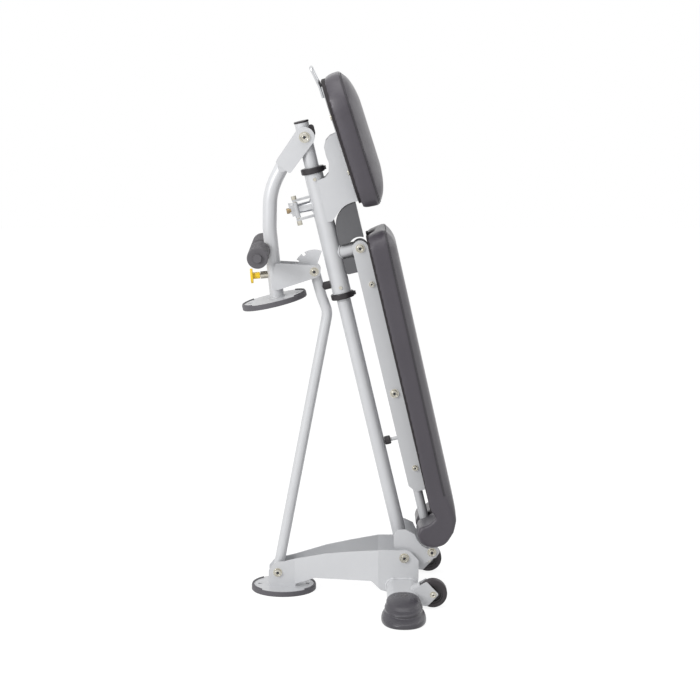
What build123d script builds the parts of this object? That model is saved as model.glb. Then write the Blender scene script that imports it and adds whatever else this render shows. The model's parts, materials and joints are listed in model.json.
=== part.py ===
from build123d import *
import math
import os

os.makedirs("parts", exist_ok=True)

# Folding, self-standing weight bench, stored upright. Millimetres, +Z up,
# origin on the floor under the middle of the outline.
# World axes: +X is the side the pads face, Y runs across the bench.
# Everything above the base is drawn in the frame of the spine tube:
# x = distance from the spine axis, z = distance along the spine from its lower
# pivot. The whole frame is then leaned back by LEAN.

# ---- driving sizes ------------------------------------------------------
LEAN = 13.3                 # lean of the stored spine, degrees
MIDDLE_X = 2.79             # middle of the outline, where the origin goes
PIVOT_X = 148.0             # spine pivot on the base
PIVOT_Z = 110.0
TOE_X = -199.0              # link pivot on the base
TOE_Z = 54.0
SPINE_D = 38.1              # 1.5 inch frame tube
WALL = 2.0
SPINE_TOP = 1208.0
HEAD_U = 1170.0             # leg pivot on the spine
KNEE_U = 813.8              # pivot between leg and link
KNEE_N = -58.5
SLEEVE_D = 50.8             # 2 inch sliding sleeve
SLEEVE_LOW = 738.0
SLEEVE_HIGH = 1070.0
COLLAR_D = 64.0
COLLAR_T = 16.0
HINGE_U = 846.6             # back hinge on the sleeve
HINGE_N = 76.0
PROP_TOP_U = 439.8          # prop hinge on the back channel
PROP_LOW_U = -7.2           # prop hinge on the spine bracket
LINK_D = 28.6
PROP_D = 25.4
FOOT_D = 178.0
FOOT_T = 4.0
FOOT_RUBBER = 14.0
LEG_FOOT_U = 752.0          # underside of the leg foot rubber
TUBE_W = 84.0               # flat oval cross tube of the base
TUBE_H = 40.0
TUBE_X = 141.0
TUBE_Z = 31.0
TUBE_END = 285.0            # the boots reach well past the tube
BOOT_W = 119.0
BOOT_IN = 221.0
BOOT_OUT = 400.0
WHEEL_D = 76.2
WHEEL_X = 222.5
WHEEL_Z = 40.0
WHEEL_Y = 182.0
PLATE_T = 5.0
SIDE_Y = 83.0               # inner face of the base side plates at the pivot
TOE_Y = 26.0                # inner face at the toe
SECTOR_GAP = 1.2            # between the lock sector and the sleeve
RUN = 0.4                   # clearance between faces that turn or slide
SEAT_T = 68.0               # seat cushion above its board
SEAT_LEAN = 4.3             # seat leans this much more than the spine
SEAT_HALF = 140.0
BACK_HALF = 130.0
PLATE = 4.0

lean = Location((PIVOT_X, 0, PIVOT_Z), (0, -LEAN, 0))


# ---- helpers ------------------------------------------------------------
def slab(face, y0, y1):
    """A flat face drawn in X and Z, given thickness from y0 to y1."""
    ground = Plane((0, y1, 0), x_dir=(1, 0, 0), z_dir=(0, -1, 0))
    return extrude(ground * face, y1 - y0, dir=(0, -1, 0))


def outline(points, radius=0.0):
    """Closed outline with the same rounding at every corner."""
    face = Polygon(*points, align=None)
    if radius > 0:
        face = fillet(face.vertices(), radius)
    return face


def disc(x, z, radius):
    return Pos(x, z) * Circle(radius)


def pin(x, z, y0, y1, radius):
    """Round bar along Y."""
    return slab(disc(x, z, radius), y0, y1)


def capsule(a, b, radius_a, radius_b):
    """Outline round two circles."""
    edges = (disc(a[0], a[1], radius_a).edges() + disc(b[0], b[1], radius_b).edges())
    return make_hull(edges)


def bar(start, end, radius):
    """Round bar between two points."""
    a = Vector(*start)
    b = Vector(*end)
    way = (b - a)
    return extrude(Plane(origin=a, z_dir=way.normalized()) * Circle(radius), way.length, dir=way.normalized())


def pipe(points, bend, outer, wall):
    """Bent round tube."""
    path = FilletPolyline(*points, radius=bend) if len(points) > 2 else Line(*points)
    start = Plane(origin=path @ 0, z_dir=path % 0)
    body = sweep(start * Circle(outer / 2), path=path)
    if wall > 0:
        body -= sweep(start * Circle(outer / 2 - wall), path=path)
    return body


def solid_pipe(points, bend, outer):
    return pipe(points, bend, outer, 0)


def both(shape):
    """The shape and its mirror image across the middle of the bench."""
    return shape, mirror(shape, about=Plane.XZ)


def bolt_end(x, z, y, side, head=9.5, socket=4.4):
    """Washer and socket head standing on the face at y, looking out on side."""
    near = min(y, y + side * 1.5)
    washer = pin(x, z, near, near + 1.5, head * 1.35)
    low = y + side * 1.5
    cap = pin(x, z, min(low, low + side * 6), max(low, low + side * 6), head)
    cut = y + side * 2.6
    key = slab(Pos(x, z) * RegularPolygon(socket, 6), min(cut, cut + side * 5), max(cut, cut + side * 5))
    return washer + cap - key


def through_bolt(x, z, y0, y1, shank, head=9.5):
    """Bolt along Y with washer and head at both ends."""
    return pin(x, z, y0, y1, shank) + bolt_end(x, z, y0, -1, head) + bolt_end(x, z, y1, 1, head)


def group(shapes):
    """Separate solids that share one node."""
    solids = []
    for shape in shapes:
        solids.extend(shape.solids())
    return Compound(children=solids)


def save(name, shape, place=None):
    middle = Location((-MIDDLE_X, 0, 0))
    if place is not None:
        middle = middle * place
    solids = [middle * solid for solid in shape.solids()]
    moved = solids[0] if len(solids) == 1 else Compound(solids)
    export_step(moved, os.path.join("parts", name + ".step"))


def to_world(n, u):
    a = math.radians(LEAN)
    return (PIVOT_X + n * math.cos(a) - u * math.sin(a), PIVOT_Z + n * math.sin(a) + u * math.cos(a))


def to_spine(x, z):
    a = math.radians(LEAN)
    dx = x - PIVOT_X
    dz = z - PIVOT_Z
    return (dx * math.cos(a) + dz * math.sin(a), -dx * math.sin(a) + dz * math.cos(a))


# ---- base ---------------------------------------------------------------
def cross_tube(grow, y0, y1):
    return slab(Pos(TUBE_X, TUBE_Z) * SlotOverall(TUBE_W + 2 * grow, TUBE_H + 2 * grow), y0, y1)


def base_side():
    """Side silhouette of the base plates."""
    edge = [(-224, 60), (-205, 82), (-179, 85), (-66, 112), (3, 122), (81, 131), (160, 131),
            (187, 104), (187, 58), (184, 12), (112, 12), (84, 20), (58, 44), (-97, 42),
            (-150, 22), (-224, 22)]
    return fillet(Polygon(*edge, align=None).vertices(), 7)


def side_strip(side):
    """Plan shape of one bent plate, tall enough to take the silhouette."""
    inner = [(200, SIDE_Y), (78, SIDE_Y), (-150, TOE_Y), (-240, TOE_Y)]
    outer = [(-240, TOE_Y + PLATE_T), (-152, TOE_Y + PLATE_T), (76.5, SIDE_Y + PLATE_T), (200, SIDE_Y + PLATE_T)]
    points = [(x, side * y) for x, y in inner + outer]
    return extrude(Polygon(*points, align=None), 180, dir=(0, 0, 1))


def foot(x, z):
    """Round sheet foot with two holes and its rubber shoe, sole at z."""
    top = z + FOOT_RUBBER
    plate = Pos(x, 0, top - FOOT_T / 2) * Cylinder(FOOT_D / 2 - 3, FOOT_T)
    rim = Pos(x, 0, z + FOOT_RUBBER / 2) * Cylinder(FOOT_D / 2, FOOT_RUBBER)
    rim = chamfer(rim.edges().filter_by(GeomType.CIRCLE), 1.5)
    # A lip stands over the sheet at the toe and at the heel, and drops where the sheet comes to the edge.
    lip = Pos(x, 0, top + 1.2) * (Cylinder(FOOT_D / 2 - 1.5, 2.4) - Cylinder(FOOT_D / 2 - 6, 2.4))
    lip -= Pos(x, 0, top) * Box(1.3 * FOOT_D / 2, 2 * FOOT_D, 20)
    rim += lip
    rim -= Pos(x, 0, top - FOOT_T / 2) * Cylinder(FOOT_D / 2 - 3, FOOT_T)
    for way in (-1, 1):
        rim_hole = Pos(x + way * 66, 0, z) * Cylinder(6, 80)
        plate -= rim_hole
        rim -= rim_hole
    return plate, rim


def build_base():
    near, far = side_strip(-1), side_strip(1)
    shape = slab(base_side(), -120, 120)
    holes = cross_tube(0, -120, 120) + pin(PIVOT_X, PIVOT_Z, -120, 120, 6) + pin(TOE_X, TOE_Z, -120, 120, 5)
    save("base_side_near", (near & shape) - holes)
    save("base_side_far", (far & shape) - holes)
    tube = cross_tube(0, -TUBE_END, TUBE_END) - cross_tube(-2.5, -380, 380)
    save("base_cross_tube", tube)
    boot = Pos(TUBE_X, (BOOT_IN + BOOT_OUT) / 2, 0) * extrude(
        RectangleRounded(BOOT_W, BOOT_OUT - BOOT_IN, 56), 55, taper=8)
    boot = fillet(boot.edges().group_by(Axis.Z)[-1], 8)
    boot = fillet(boot.edges().group_by(Axis.Z)[0], 2)
    boot -= cross_tube(0, 0, TUBE_END)
    save("base_boots", group(both(boot)))
    plate, rim = foot(-183, 0)
    # The foot sheet carries a folded rail that joins the toes of the side plates.
    rail = slab(outline([(-222, 14), (-150, 14), (-150, 22), (-222, 22)]), -TOE_Y - PLATE_T, TOE_Y + PLATE_T)
    save("base_foot_plate", plate + rail)
    save("base_foot_rubber", rim)
    axle_nut = 6.0
    forks, axles = [], []
    for name, side in (("near", -1), ("far", 1)):
        arm = outline([(TUBE_X + 18, 44), (TUBE_X + 34, 58), (TUBE_X + 64, 75), (TUBE_X + 97, 40),
                       (TUBE_X + 66, 8), (TUBE_X + 50, 10), (TUBE_X + 30, 24)], 5)
        flat = slab(arm, -2, 2) - cross_tube(0, -5, 5)
        pair = []
        for off in (-1, 1):
            pair.append(Pos(0, side * WHEEL_Y + off * 19, 0) * flat)
        web = slab(outline([(TUBE_X + 20, 46), (TUBE_X + 34, 54), (TUBE_X + 47, 62), (TUBE_X + 45, 65.5),
                            (TUBE_X + 32, 58), (TUBE_X + 18, 49)]), -17, 17)
        web = Pos(0, side * WHEEL_Y, 0) * web - cross_tube(0, -300, 300)
        fork = pair[0] + pair[1] + web
        fork -= pin(WHEEL_X, WHEEL_Z, side * WHEEL_Y - 40, side * WHEEL_Y + 40, axle_nut)
        forks.append(fork)
        axle = pin(WHEEL_X, WHEEL_Z, side * WHEEL_Y - 21, side * WHEEL_Y + 21, axle_nut)
        axle += bolt_end(WHEEL_X, WHEEL_Z, side * WHEEL_Y - 21, -1, 6.5, 2.6)
        axle += bolt_end(WHEEL_X, WHEEL_Z, side * WHEEL_Y + 21, 1, 6.5, 2.6)
        axles.append(axle)
        tyre = pin(WHEEL_X, WHEEL_Z, side * WHEEL_Y - 14, side * WHEEL_Y + 14, WHEEL_D / 2)
        tyre = fillet(tyre.edges().filter_by(GeomType.CIRCLE), 4)
        tyre -= pin(WHEEL_X, WHEEL_Z, side * WHEEL_Y - 20, side * WHEEL_Y + 20, 27)
        save("wheel_tyre_" + name, tyre)
        hub = pin(WHEEL_X, WHEEL_Z, side * WHEEL_Y - 11, side * WHEEL_Y + 11, 27)
        rim_cut = pin(WHEEL_X, WHEEL_Z, 5, 20, 22) - pin(WHEEL_X, WHEEL_Z, 5, 20, 12)
        for way in (-1, 1):
            cut = rim_cut if way > 0 else mirror(rim_cut, about=Plane.XZ)
            hub -= Pos(0, side * WHEEL_Y, 0) * cut
        hub += pin(WHEEL_X, WHEEL_Z, side * WHEEL_Y - 16, side * WHEEL_Y + 16, 11)
        hub -= pin(WHEEL_X, WHEEL_Z, side * WHEEL_Y - 40, side * WHEEL_Y + 40, axle_nut + RUN)
        save("wheel_hub_" + name, hub)
    save("wheel_forks", group(forks))
    save("wheel_axles", group(axles))
    save("spine_pivot_bolt", through_bolt(PIVOT_X, PIVOT_Z, -SIDE_Y - PLATE_T, SIDE_Y + PLATE_T, 6, 10))
    save("toe_pivot_bolt", through_bolt(TOE_X, TOE_Z, -TOE_Y - PLATE_T, TOE_Y + PLATE_T, 5, 9))


# ---- spine --------------------------------------------------------------
LATCH_U = 986.0
WING_Y = 62.0               # inner face of the spine bracket's wings


def build_spine():
    tube = pin(0, 0, -1, 1, 0.1)
    tube = Pos(0, 0, (SPINE_TOP + 22) / 2 - 0) * Cylinder(SPINE_D / 2, SPINE_TOP - 22)
    tube -= Pos(0, 0, SPINE_TOP / 2) * Cylinder(SPINE_D / 2 - WALL, SPINE_TOP + 100)
    for step in range(5):
        tube -= bar((-30, 0, LATCH_U - 60 + 15 * step), (0, 0, LATCH_U - 60 + 15 * step), 5.2)
    # Cross tube of the pivot and the folded foot bracket.
    sleeve = pin(0, 0, -74, 74, 16) - pin(0, 0, -90, 90, 6 + RUN)
    save("spine_tube", tube, lean)
    wing = outline([(-14, 62), (0, 76), (20, 71), (41, 54), (44, 37), (52, 19), (65, 6), (78, 4), (94, 3),
                    (97, -12), (84, -24), (70, -26), (34, -40), (0, -24), (-20, -10), (-20, 40)], 4)
    near_wing, far_wing = both(slab(wing, WING_Y, WING_Y + PLATE_T))
    web = slab(outline([(-19, 24), (24, 24), (24, 29), (-19, 29)]), -WING_Y, WING_Y)
    bracket = near_wing + far_wing + web
    bracket = bracket - pin(0, 0, -90, 90, 16) + sleeve
    bracket -= pin(HINGE_N, PROP_LOW_U, -90, 90, 5)
    bracket -= Pos(0, 0, 60) * Cylinder(SPINE_D / 2, 76)
    save("spine_foot_bracket", bracket, lean)
    cap = Pos(0, 0, SPINE_TOP + 2.5) * Cylinder(20.3, 5)
    cap = chamfer(cap.edges().filter_by(GeomType.CIRCLE), 1)
    cap += Pos(0, 0, SPINE_TOP - 10) * Cylinder(SPINE_D / 2 - WALL, 20)
    save("spine_end_cap", cap, lean)
    stop = slab(capsule((SPINE_D / 2 + 3, HEAD_U + 4), (SPINE_D / 2 + 3, HEAD_U + 20), 8, 8), -9, 9)
    stop -= Pos(0, 0, HEAD_U) * Cylinder(SPINE_D / 2, 200)
    save("spine_stop_button", stop, lean)
    outer = WING_Y + PLATE_T
    save("prop_low_bolt", through_bolt(HINGE_N, PROP_LOW_U, -outer, outer, 5, 9), lean)


# ---- prop that holds the back up ----------------------------------------
BUMPER_U = 312.0


def build_prop():
    low = PROP_LOW_U
    body = bar((HINGE_N, 0, low), (HINGE_N, 0, PROP_TOP_U), PROP_D / 2)
    body -= bar((HINGE_N, 0, low - 50), (HINGE_N, 0, PROP_TOP_U + 50), PROP_D / 2 - WALL)
    body += pin(HINGE_N, low, -WING_Y + 1, WING_Y - 1, 11) + pin(HINGE_N, PROP_TOP_U, -25, 25, 13)
    body -= pin(HINGE_N, low, -80, 80, 5 + RUN) + pin(HINGE_N, PROP_TOP_U, -80, 80, 5 + RUN)
    # A rubber nose on a short stem keeps the stored prop off the spine.
    stem = bar((36, 0, BUMPER_U), (HINGE_N - 8, 0, BUMPER_U), 5) - bar((HINGE_N, 0, 0), (HINGE_N, 0, 400), 12)
    save("prop_tube", body + stem, lean)
    nose = bar((SPINE_D / 2 + RUN, 0, BUMPER_U), (36, 0, BUMPER_U), 12)
    save("prop_bumper", chamfer(nose.edges().filter_by(GeomType.CIRCLE), 2), lean)


# ---- back rest ----------------------------------------------------------
PAD_BACK_N = 99.0
BOARD_T = 10.0
PAD_T = 60.0
PAD_TAPER = 8.0             # the back cushion is this much thinner at the roll
BACK_TOP = 893.0


def build_back():
    low, high = 160.0, HINGE_U
    side = make_hull((disc(HINGE_N, high, 21).edges()
                      + outline([(HINGE_N - 21, low + 20), (PAD_BACK_N, low), (PAD_BACK_N, high),
                                 (HINGE_N - 21, high), (HINGE_N - 6, low)]).edges()))
    outer = slab(side, -31, 31)
    inner = slab(outline([(0, low - 50), (PAD_BACK_N - 3, low - 50), (PAD_BACK_N - 3, high + 80), (0, high + 80)]),
                 -28, 28)
    channel = outer - inner
    channel -= pin(HINGE_N, HINGE_U, -60, 60, 5) + pin(HINGE_N, PROP_TOP_U, -60, 60, 5)
    board_top, board_half = BACK_TOP - 16, BACK_HALF - 8
    board_side = outline([(PAD_BACK_N, 112), (PAD_BACK_N + BOARD_T, 112), (PAD_BACK_N + BOARD_T, board_top),
                          (PAD_BACK_N, board_top)])
    slot = slab(outline([(60, HINGE_U - 10), (PAD_BACK_N, HINGE_U - 10), (PAD_BACK_N + 36, HINGE_U + 60),
                         (PAD_BACK_N + 36, 990), (60, 990)]), -30, 30)
    board = slab(board_side, -board_half, board_half) & plan_cut(112, board_top, board_half, 4, 50)
    save("back_board", board - slot, lean)
    front = PAD_BACK_N + BOARD_T + PAD_T
    start = PAD_BACK_N + BOARD_T
    profile = outline([(start, 96), (start, BACK_TOP), (front, BACK_TOP), (front - PAD_TAPER, 96)])
    profile = fillet(profile.vertices().filter_by(lambda v: v.Y > 500 and v.X > start + 5), 26)
    roll = capsule((91, 63), (front - PAD_TAPER - 42, 92), 47, 42)
    pad = slab(profile, -BACK_HALF, BACK_HALF) + slab(roll, -BACK_HALF, BACK_HALF)
    pad &= plan_cut(-60, BACK_TOP, BACK_HALF, 10, 55)
    pad -= slab(outline([(0, 96), (PAD_BACK_N + BOARD_T, 96), (PAD_BACK_N + BOARD_T, 300), (0, 300)]), -200, 200)
    pad -= slab(outline([(0, 0), (HINGE_N + PROP_D / 2 + 12, 0), (HINGE_N + PROP_D / 2 + 12, 150), (0, 150)]),
                -20, 20)
    pad -= slot
    save("back_pad", pad, lean)
    save("back_channel", channel, lean)
    save("prop_top_bolt", through_bolt(HINGE_N, PROP_TOP_U, -31, 31, 5, 9), lean)
    heads = []
    for u in (745.0, 225.0):
        for side_y in (-1, 1):
            heads.append(bolt_end(HINGE_N + 8, u, side_y * 31, side_y, 6, 3))
    save("back_channel_bolts", group(heads), lean)


# ---- sliding carriage with the seat -------------------------------------
def plan_cut(z0, z1, half, low_radius, high_radius):
    """Rounded outline of a cushion seen from the front, deep enough to trim it."""
    face = Pos(0, (z0 + z1) / 2) * Rectangle(2 * half, z1 - z0)
    low = face.vertices().sort_by(Axis.Y)[:2]
    face = fillet(low, low_radius)
    face = fillet(face.vertices().sort_by(Axis.Y)[-2:], high_radius)
    ground = Plane((-50, 0, 0), x_dir=(0, 1, 0), z_dir=(1, 0, 0))
    return extrude(ground * face, 400, dir=(1, 0, 0))


def seat_place():
    return Location((PAD_BACK_N + 4, 0, 962), (0, -SEAT_LEAN, 0))


def build_carriage():
    body = Pos(0, 0, (SLEEVE_LOW + SLEEVE_HIGH) / 2) * Cylinder(SLEEVE_D / 2, SLEEVE_HIGH - SLEEVE_LOW)
    bore = Pos(0, 0, 900) * Cylinder(SLEEVE_D / 2 - 2.5, 600)
    sleeve = body - bore
    sleeve -= bar((-40, 0, LATCH_U), (0, 0, LATCH_U), 5.6)
    save("slide_sleeve", sleeve, lean)
    rings = []
    for low in (SLEEVE_LOW - COLLAR_T, SLEEVE_HIGH):
        ring = Pos(0, 0, low + COLLAR_T / 2) * Cylinder(COLLAR_D / 2, COLLAR_T)
        ring = fillet(ring.edges().filter_by(GeomType.CIRCLE), 3)
        ring += Pos(COLLAR_D / 2, 0, low + COLLAR_T / 2) * Box(9, 12, 10)
        ring -= Pos(0, 0, low) * Cylinder(SPINE_D / 2 + 0.8, 100)
        rings.append(ring)
    save("slide_collars", group(rings), lean)
    screws = []
    for u in (SLEEVE_LOW + 16, SLEEVE_HIGH - 16):
        for side in (-1, 1):
            face = side * SLEEVE_D / 2
            screws.append(pin(0, u, min(face, face + side * 2.5), max(face, face + side * 2.5), 4.5))
    save("slide_screws", group(screws), lean)
    core = Pos(0, 0, 900) * Cylinder(SLEEVE_D / 2, 600)
    # Round stub from the sleeve to the eye of the back hinge.
    arm = bar((10, 0, HINGE_U), (HINGE_N - 8, 0, HINGE_U), 19) + pin(HINGE_N, HINGE_U, -22, 22, 17) - core
    arm -= pin(HINGE_N, HINGE_U, -60, 60, 5 + RUN)
    save("hinge_arm", arm, lean)
    # Plastic guard: a quarter disc above the stub and a short skirt below it.
    shell = outline([(24, HINGE_U - 62), (24, 970), (92, 970), (92, HINGE_U + 24), (66, HINGE_U - 22),
                     (64, HINGE_U - 62)])
    quarter = disc(88, 905, 64) + outline([(24, HINGE_U - 62), (24, 905), (60, 905), (64, HINGE_U - 62)], 8)
    guard = slab(shell & quarter, -26, 26) - core - slab(disc(HINGE_N, HINGE_U, 31), -40, 40)
    guard += slab(outline([(24, HINGE_U + 19.5), (60, HINGE_U + 30), (60, 900), (24, 900)]), -26, 26) - core
    guard -= slab(disc(HINGE_N, HINGE_U, 31), -40, 40)
    guard -= bar((10, 0, HINGE_U), (HINGE_N - 8, 0, HINGE_U), 19)
    # The stub shows between the guard's two halves.
    guard -= slab(outline([(20, HINGE_U - 19.5), (100, HINGE_U - 19.5), (100, HINGE_U + 20), (20, HINGE_U + 20)]),
                  -40, 40)
    save("hinge_guard", guard, lean)
    save("back_hinge_bolt", through_bolt(HINGE_N, HINGE_U, -31, 31, 5, 9), lean)
    # Seat bracket: two sheet cheeks from the sleeve up to the seat board.
    cheek = outline([(6, 936), (6, 1050), (28, 1053), (40, 1062), (47, 1088), (44, 1108), (44, 1132), (52, 1148),
                     (66, 1158), (96, 1164), (99, 1010), (104, 971), (84, 972), (66, 969), (48, 960), (32, 945),
                     (20, 934)], 3)
    board_back = seat_place() * slab(outline([(0, -30), (200, -30), (200, 420), (0, 420)]), -200, 200)
    cheeks = []
    for side in (-1, 1):
        plate = slab(cheek, min(side * 23, side * 27), max(side * 23, side * 27)) - core - board_back
        cheeks.append(plate)
    save("seat_cheeks", group(cheeks), lean)
    place = seat_place()
    board = slab(outline([(0, 8), (BOARD_T, 8), (BOARD_T, 344), (0, 344)]), -SEAT_HALF + 10, SEAT_HALF - 10)
    save("seat_board", board & plan_cut(8, 350, SEAT_HALF - 10, 52, 90), lean * place)
    cushion = outline([(BOARD_T, -9), (BOARD_T, 350), (BOARD_T + 42, 357), (BOARD_T + SEAT_T, 344),
                       (BOARD_T + SEAT_T, 0), (BOARD_T + 42, -14)])
    cushion = fillet(cushion.vertices().filter_by(lambda v: v.X > BOARD_T + 50), 22)
    trimmed = slab(cushion, -SEAT_HALF, SEAT_HALF) & plan_cut(-14, 357, SEAT_HALF, 60, 100)
    save("seat_pad", trimmed, lean * place)
    strip = slab(outline([(-3, 20), (0, 20), (0, 330), (-3, 330)]), 60, 90)
    strips = []
    for piece in both(strip):
        strips.append(piece)
    save("seat_bars", group(strips), lean * place)
    rod = solid_pipe([(-7, -50, 300), (-7, -50, 330), (-15, -50, 385), (-15, 50, 385), (-7, 50, 330),
                      (-7, 50, 300)], 9, 8)
    tabs = slab(outline([(-3, 292), (0, 292), (0, 326), (-3, 326)]), -56, -44)
    tabs = tabs + mirror(tabs, about=Plane.XZ)
    save("seat_handle", rod + tabs, lean * place)
    heads = []
    for z in (247, 96):
        for side in (-1, 1):
            y = side * (SEAT_HALF - 35)
            heads.append(bar((-4, y, z), (0, y, z), 7))
    save("seat_bolts", group(heads), lean * place)
    # Latch on the back of the sleeve.
    stub = bar((-60, 0, LATCH_U), (-20, 0, LATCH_U), 14) - core
    stub -= bar((-90, 0, LATCH_U), (0, 0, LATCH_U), 5.6)
    ears = [stub]
    for u in (LATCH_U - 30, LATCH_U + 22):
        ear = Pos(0, 0, u) * extrude(
            Polygon((-22, -12), (-72, -30), (-72, -14), (-22, 12), align=None), 6, dir=(0, 0, 1))
        ears.append(ear - core - bar((-66, -22, LATCH_U - 60), (-66, -22, LATCH_U + 60), 4))
    barrel = ears[0] + ears[1] + ears[2]
    save("latch_barrel", barrel, lean)
    pivot = bar((-66, -22, LATCH_U - 36), (-66, -22, LATCH_U + 34), 4)
    pivot += bar((-66, -22, LATCH_U - 42), (-66, -22, LATCH_U - 30), 7)
    pivot += bar((-66, -22, LATCH_U + 28), (-66, -22, LATCH_U + 38), 7)
    save("latch_pivot_bolt", pivot, lean)
    lever = Pos(-80, 0, LATCH_U - 15) * extrude(
        Polygon((0, -30), (4, -30), (4, 38), (-6, 62), (-9, 60), (0, 37), align=None), 30, dir=(0, 0, 1))
    lever -= bar((-120, 0, LATCH_U), (0, 0, LATCH_U), 10.5)
    knuckle = bar((-66, -22, LATCH_U - 22), (-66, -22, LATCH_U + 20), 7)
    neck = Pos(0, 0, LATCH_U - 15) * extrude(
        Polygon((-80, -30), (-68, -28), (-68, -17), (-80, -14), align=None), 30, dir=(0, 0, 1))
    lever = lever + knuckle + neck - bar((-66, -22, LATCH_U - 80), (-66, -22, LATCH_U + 80), 4 + RUN)
    save("latch_lever", lever, lean)
    bolt = bar((-94, 0, LATCH_U), (-SPINE_D / 2 - 0.5, 0, LATCH_U), 5)
    bolt += bar((-94, 0, LATCH_U), (-86, 0, LATCH_U), 7.5)
    save("latch_pin", bolt, lean)


# ---- link between base and leg ------------------------------------------
TOE_N, TOE_U = to_spine(TOE_X, TOE_Z)


def build_link():
    knee = (KNEE_N, KNEE_U)
    points = [(KNEE_N, 0, KNEE_U), (-56, 0, 741), (-50, 0, 695), (TOE_N, 0, TOE_U)]
    tube = pipe(points, 55, LINK_D, WALL)
    eyes = pin(knee[0], knee[1], -26, 26, 17) + pin(TOE_N, TOE_U, -TOE_Y + 1, TOE_Y - 1, 16)
    tube = tube - pin(knee[0], knee[1], -40, 40, 16) - pin(TOE_N, TOE_U, -40, 40, 15) + eyes
    tube -= pin(knee[0], knee[1], -40, 40, 5 + RUN) + pin(TOE_N, TOE_U, -40, 40, 5 + RUN)
    save("link_tube", tube, lean)
    fan = slab(disc(knee[0], knee[1], 56), -3, 3)
    keep = slab(outline([(knee[0] + 2, knee[1] + 0), (knee[0] + 60, knee[1] + 90), (knee[0] - 90, knee[1] + 90),
                         (knee[0] - 90, knee[1] - 24)]), -10, 10)
    fan = (fan & keep) - pin(knee[0], knee[1], -20, 20, 17)
    for angle in (171.9, 140.0, 110.0):
        a = math.radians(angle)
        fan -= bar((knee[0] + 48 * math.cos(a), 0, knee[1] + 48 * math.sin(a)),
                   (knee[0] + 70 * math.cos(a), 0, knee[1] + 70 * math.sin(a)), 5.4)
    fan -= bar((0, 0, knee[1] - 100), (0, 0, knee[1] + 100), SLEEVE_D / 2 + SECTOR_GAP)
    save("lock_sector", fan, lean)
    knob = bar((-50, 0, 766), (-SLEEVE_D / 2 - RUN, 0, 766), 11)
    knob -= pipe(points, 55, LINK_D, 0)
    save("link_bumper", knob, lean)


# ---- leg ----------------------------------------------------------------
LEG_BEND = 180.0            # centre-line radius of the leg's long bend
PULL = (-math.cos(math.radians(8.1)), math.sin(math.radians(8.1)))


def on_pull(distance):
    return (KNEE_N + PULL[0] * distance, 0, KNEE_U + PULL[1] * distance)


def build_leg():
    head = (0, HEAD_U)
    foot_n = -183.0
    points = [(-62, 0, 1124), (-124, 0, 1052), (-150, 0, 950), (-174, 0, LEG_FOOT_U + FOOT_RUBBER)]
    tube = pipe(points, LEG_BEND, SPINE_D, WALL)
    block = slab(capsule((-52, 1128), (-76, 1106), 13, 13), -21.3, 21.3) - pipe(points, LEG_BEND, SPINE_D, 0)
    save("leg_tube", tube + block - bar(on_pull(60), on_pull(200), 10), lean)
    heel = outline([(-60.4, 1084), (-34, 1106), (-66, 1145), (-92.6, 1122.6)], 6)
    face = make_hull(disc(head[0], head[1], 27).edges() + heel.edges())
    cheek = slab(face, 21.3, 25.3) - pin(head[0], head[1], -40, 40, 6)
    save("leg_head_cheeks", group(both(cheek)), lean)
    stubs = []
    for side in (-1, 1):
        stub = pin(head[0], head[1], min(side * 20.8, side * 25.3), max(side * 20.8, side * 25.3), 6)
        stubs.append(stub + bolt_end(head[0], head[1], side * 25.3, side, 11))
    save("leg_head_bolts", group(stubs), lean)
    knee = (KNEE_N, KNEE_U)
    arm = make_hull(disc(knee[0], knee[1], 17).edges() + disc(-150, 846, 12).edges() + disc(-166, 800, 12).edges())
    hole = pin(knee[0], knee[1], -60, 60, 5)
    wrap = slab(outline([(-178, 790), (-142, 800), (-142, 812), (-178, 802)], 2), -28, 28)
    wrap -= pipe(points, LEG_BEND, SPINE_D, 0)
    arms = both(slab(arm, 28, 32) - hole)
    save("leg_arms", arms[0] + wrap + arms[1], lean)
    save("knee_bolt", through_bolt(knee[0], knee[1], -32, 32, 5, 9), lean)
    plate, rim = foot(foot_n, LEG_FOOT_U)
    plate -= pipe(points, LEG_BEND, SPINE_D, 0)
    save("leg_foot_plate", plate, lean)
    save("leg_foot_rubber", rim, lean)
    bar_n, bar_u = -188.6, 900.0
    rod = pin(bar_n, bar_u, -182, 182, 8)
    saddle = slab(outline([(bar_n - 14, bar_u - 14), (-150, bar_u - 14), (-150, bar_u + 14),
                           (bar_n - 14, bar_u + 14)], 3), -17, 17)
    saddle -= pipe(points, LEG_BEND, SPINE_D, 0)
    saddle -= pin(bar_n, bar_u, -60, 60, 8)
    save("roller_bar", rod + saddle, lean)
    for name, side in (("near", -1), ("far", 1)):
        y0, y1 = sorted((side * 24, side * 174))
        body = pin(bar_n, bar_u, y0, y1, 28)
        body = fillet(body.edges().filter_by(GeomType.CIRCLE), 3)
        for k in range(18):
            y = y0 + 12 + k * (y1 - y0 - 24) / 17
            body -= pin(bar_n, bar_u, y - 1.2, y + 1.2, 40) - pin(bar_n, bar_u, y - 2, y + 2, 26.6)
        body -= pin(bar_n, bar_u, y0 - 5, y1 + 5, 8 + RUN)
        save("foot_roller_" + name, body, lean)
    ends = []
    for side in (-1, 1):
        y0, y1 = sorted((side * 176, side * 184))
        ends.append(pin(bar_n, bar_u, y0, y1, 11) - pin(bar_n, bar_u, -182, 182, 8))
    save("roller_bar_caps", group(ends), lean)
    house = bar(on_pull(76), on_pull(146), 10) - bar(on_pull(70), on_pull(150), 5 + RUN)
    save("plunger_barrel", house, lean)
    stem = bar(on_pull(57.5), on_pull(160), 5)
    save("plunger_pin", stem, lean)
    grip = bar(on_pull(148), on_pull(172), 9) + bar(on_pull(167), on_pull(173), 20)
    grip -= bar(on_pull(140), on_pull(160), 5)
    save("plunger_knob", grip, lean)


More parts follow.
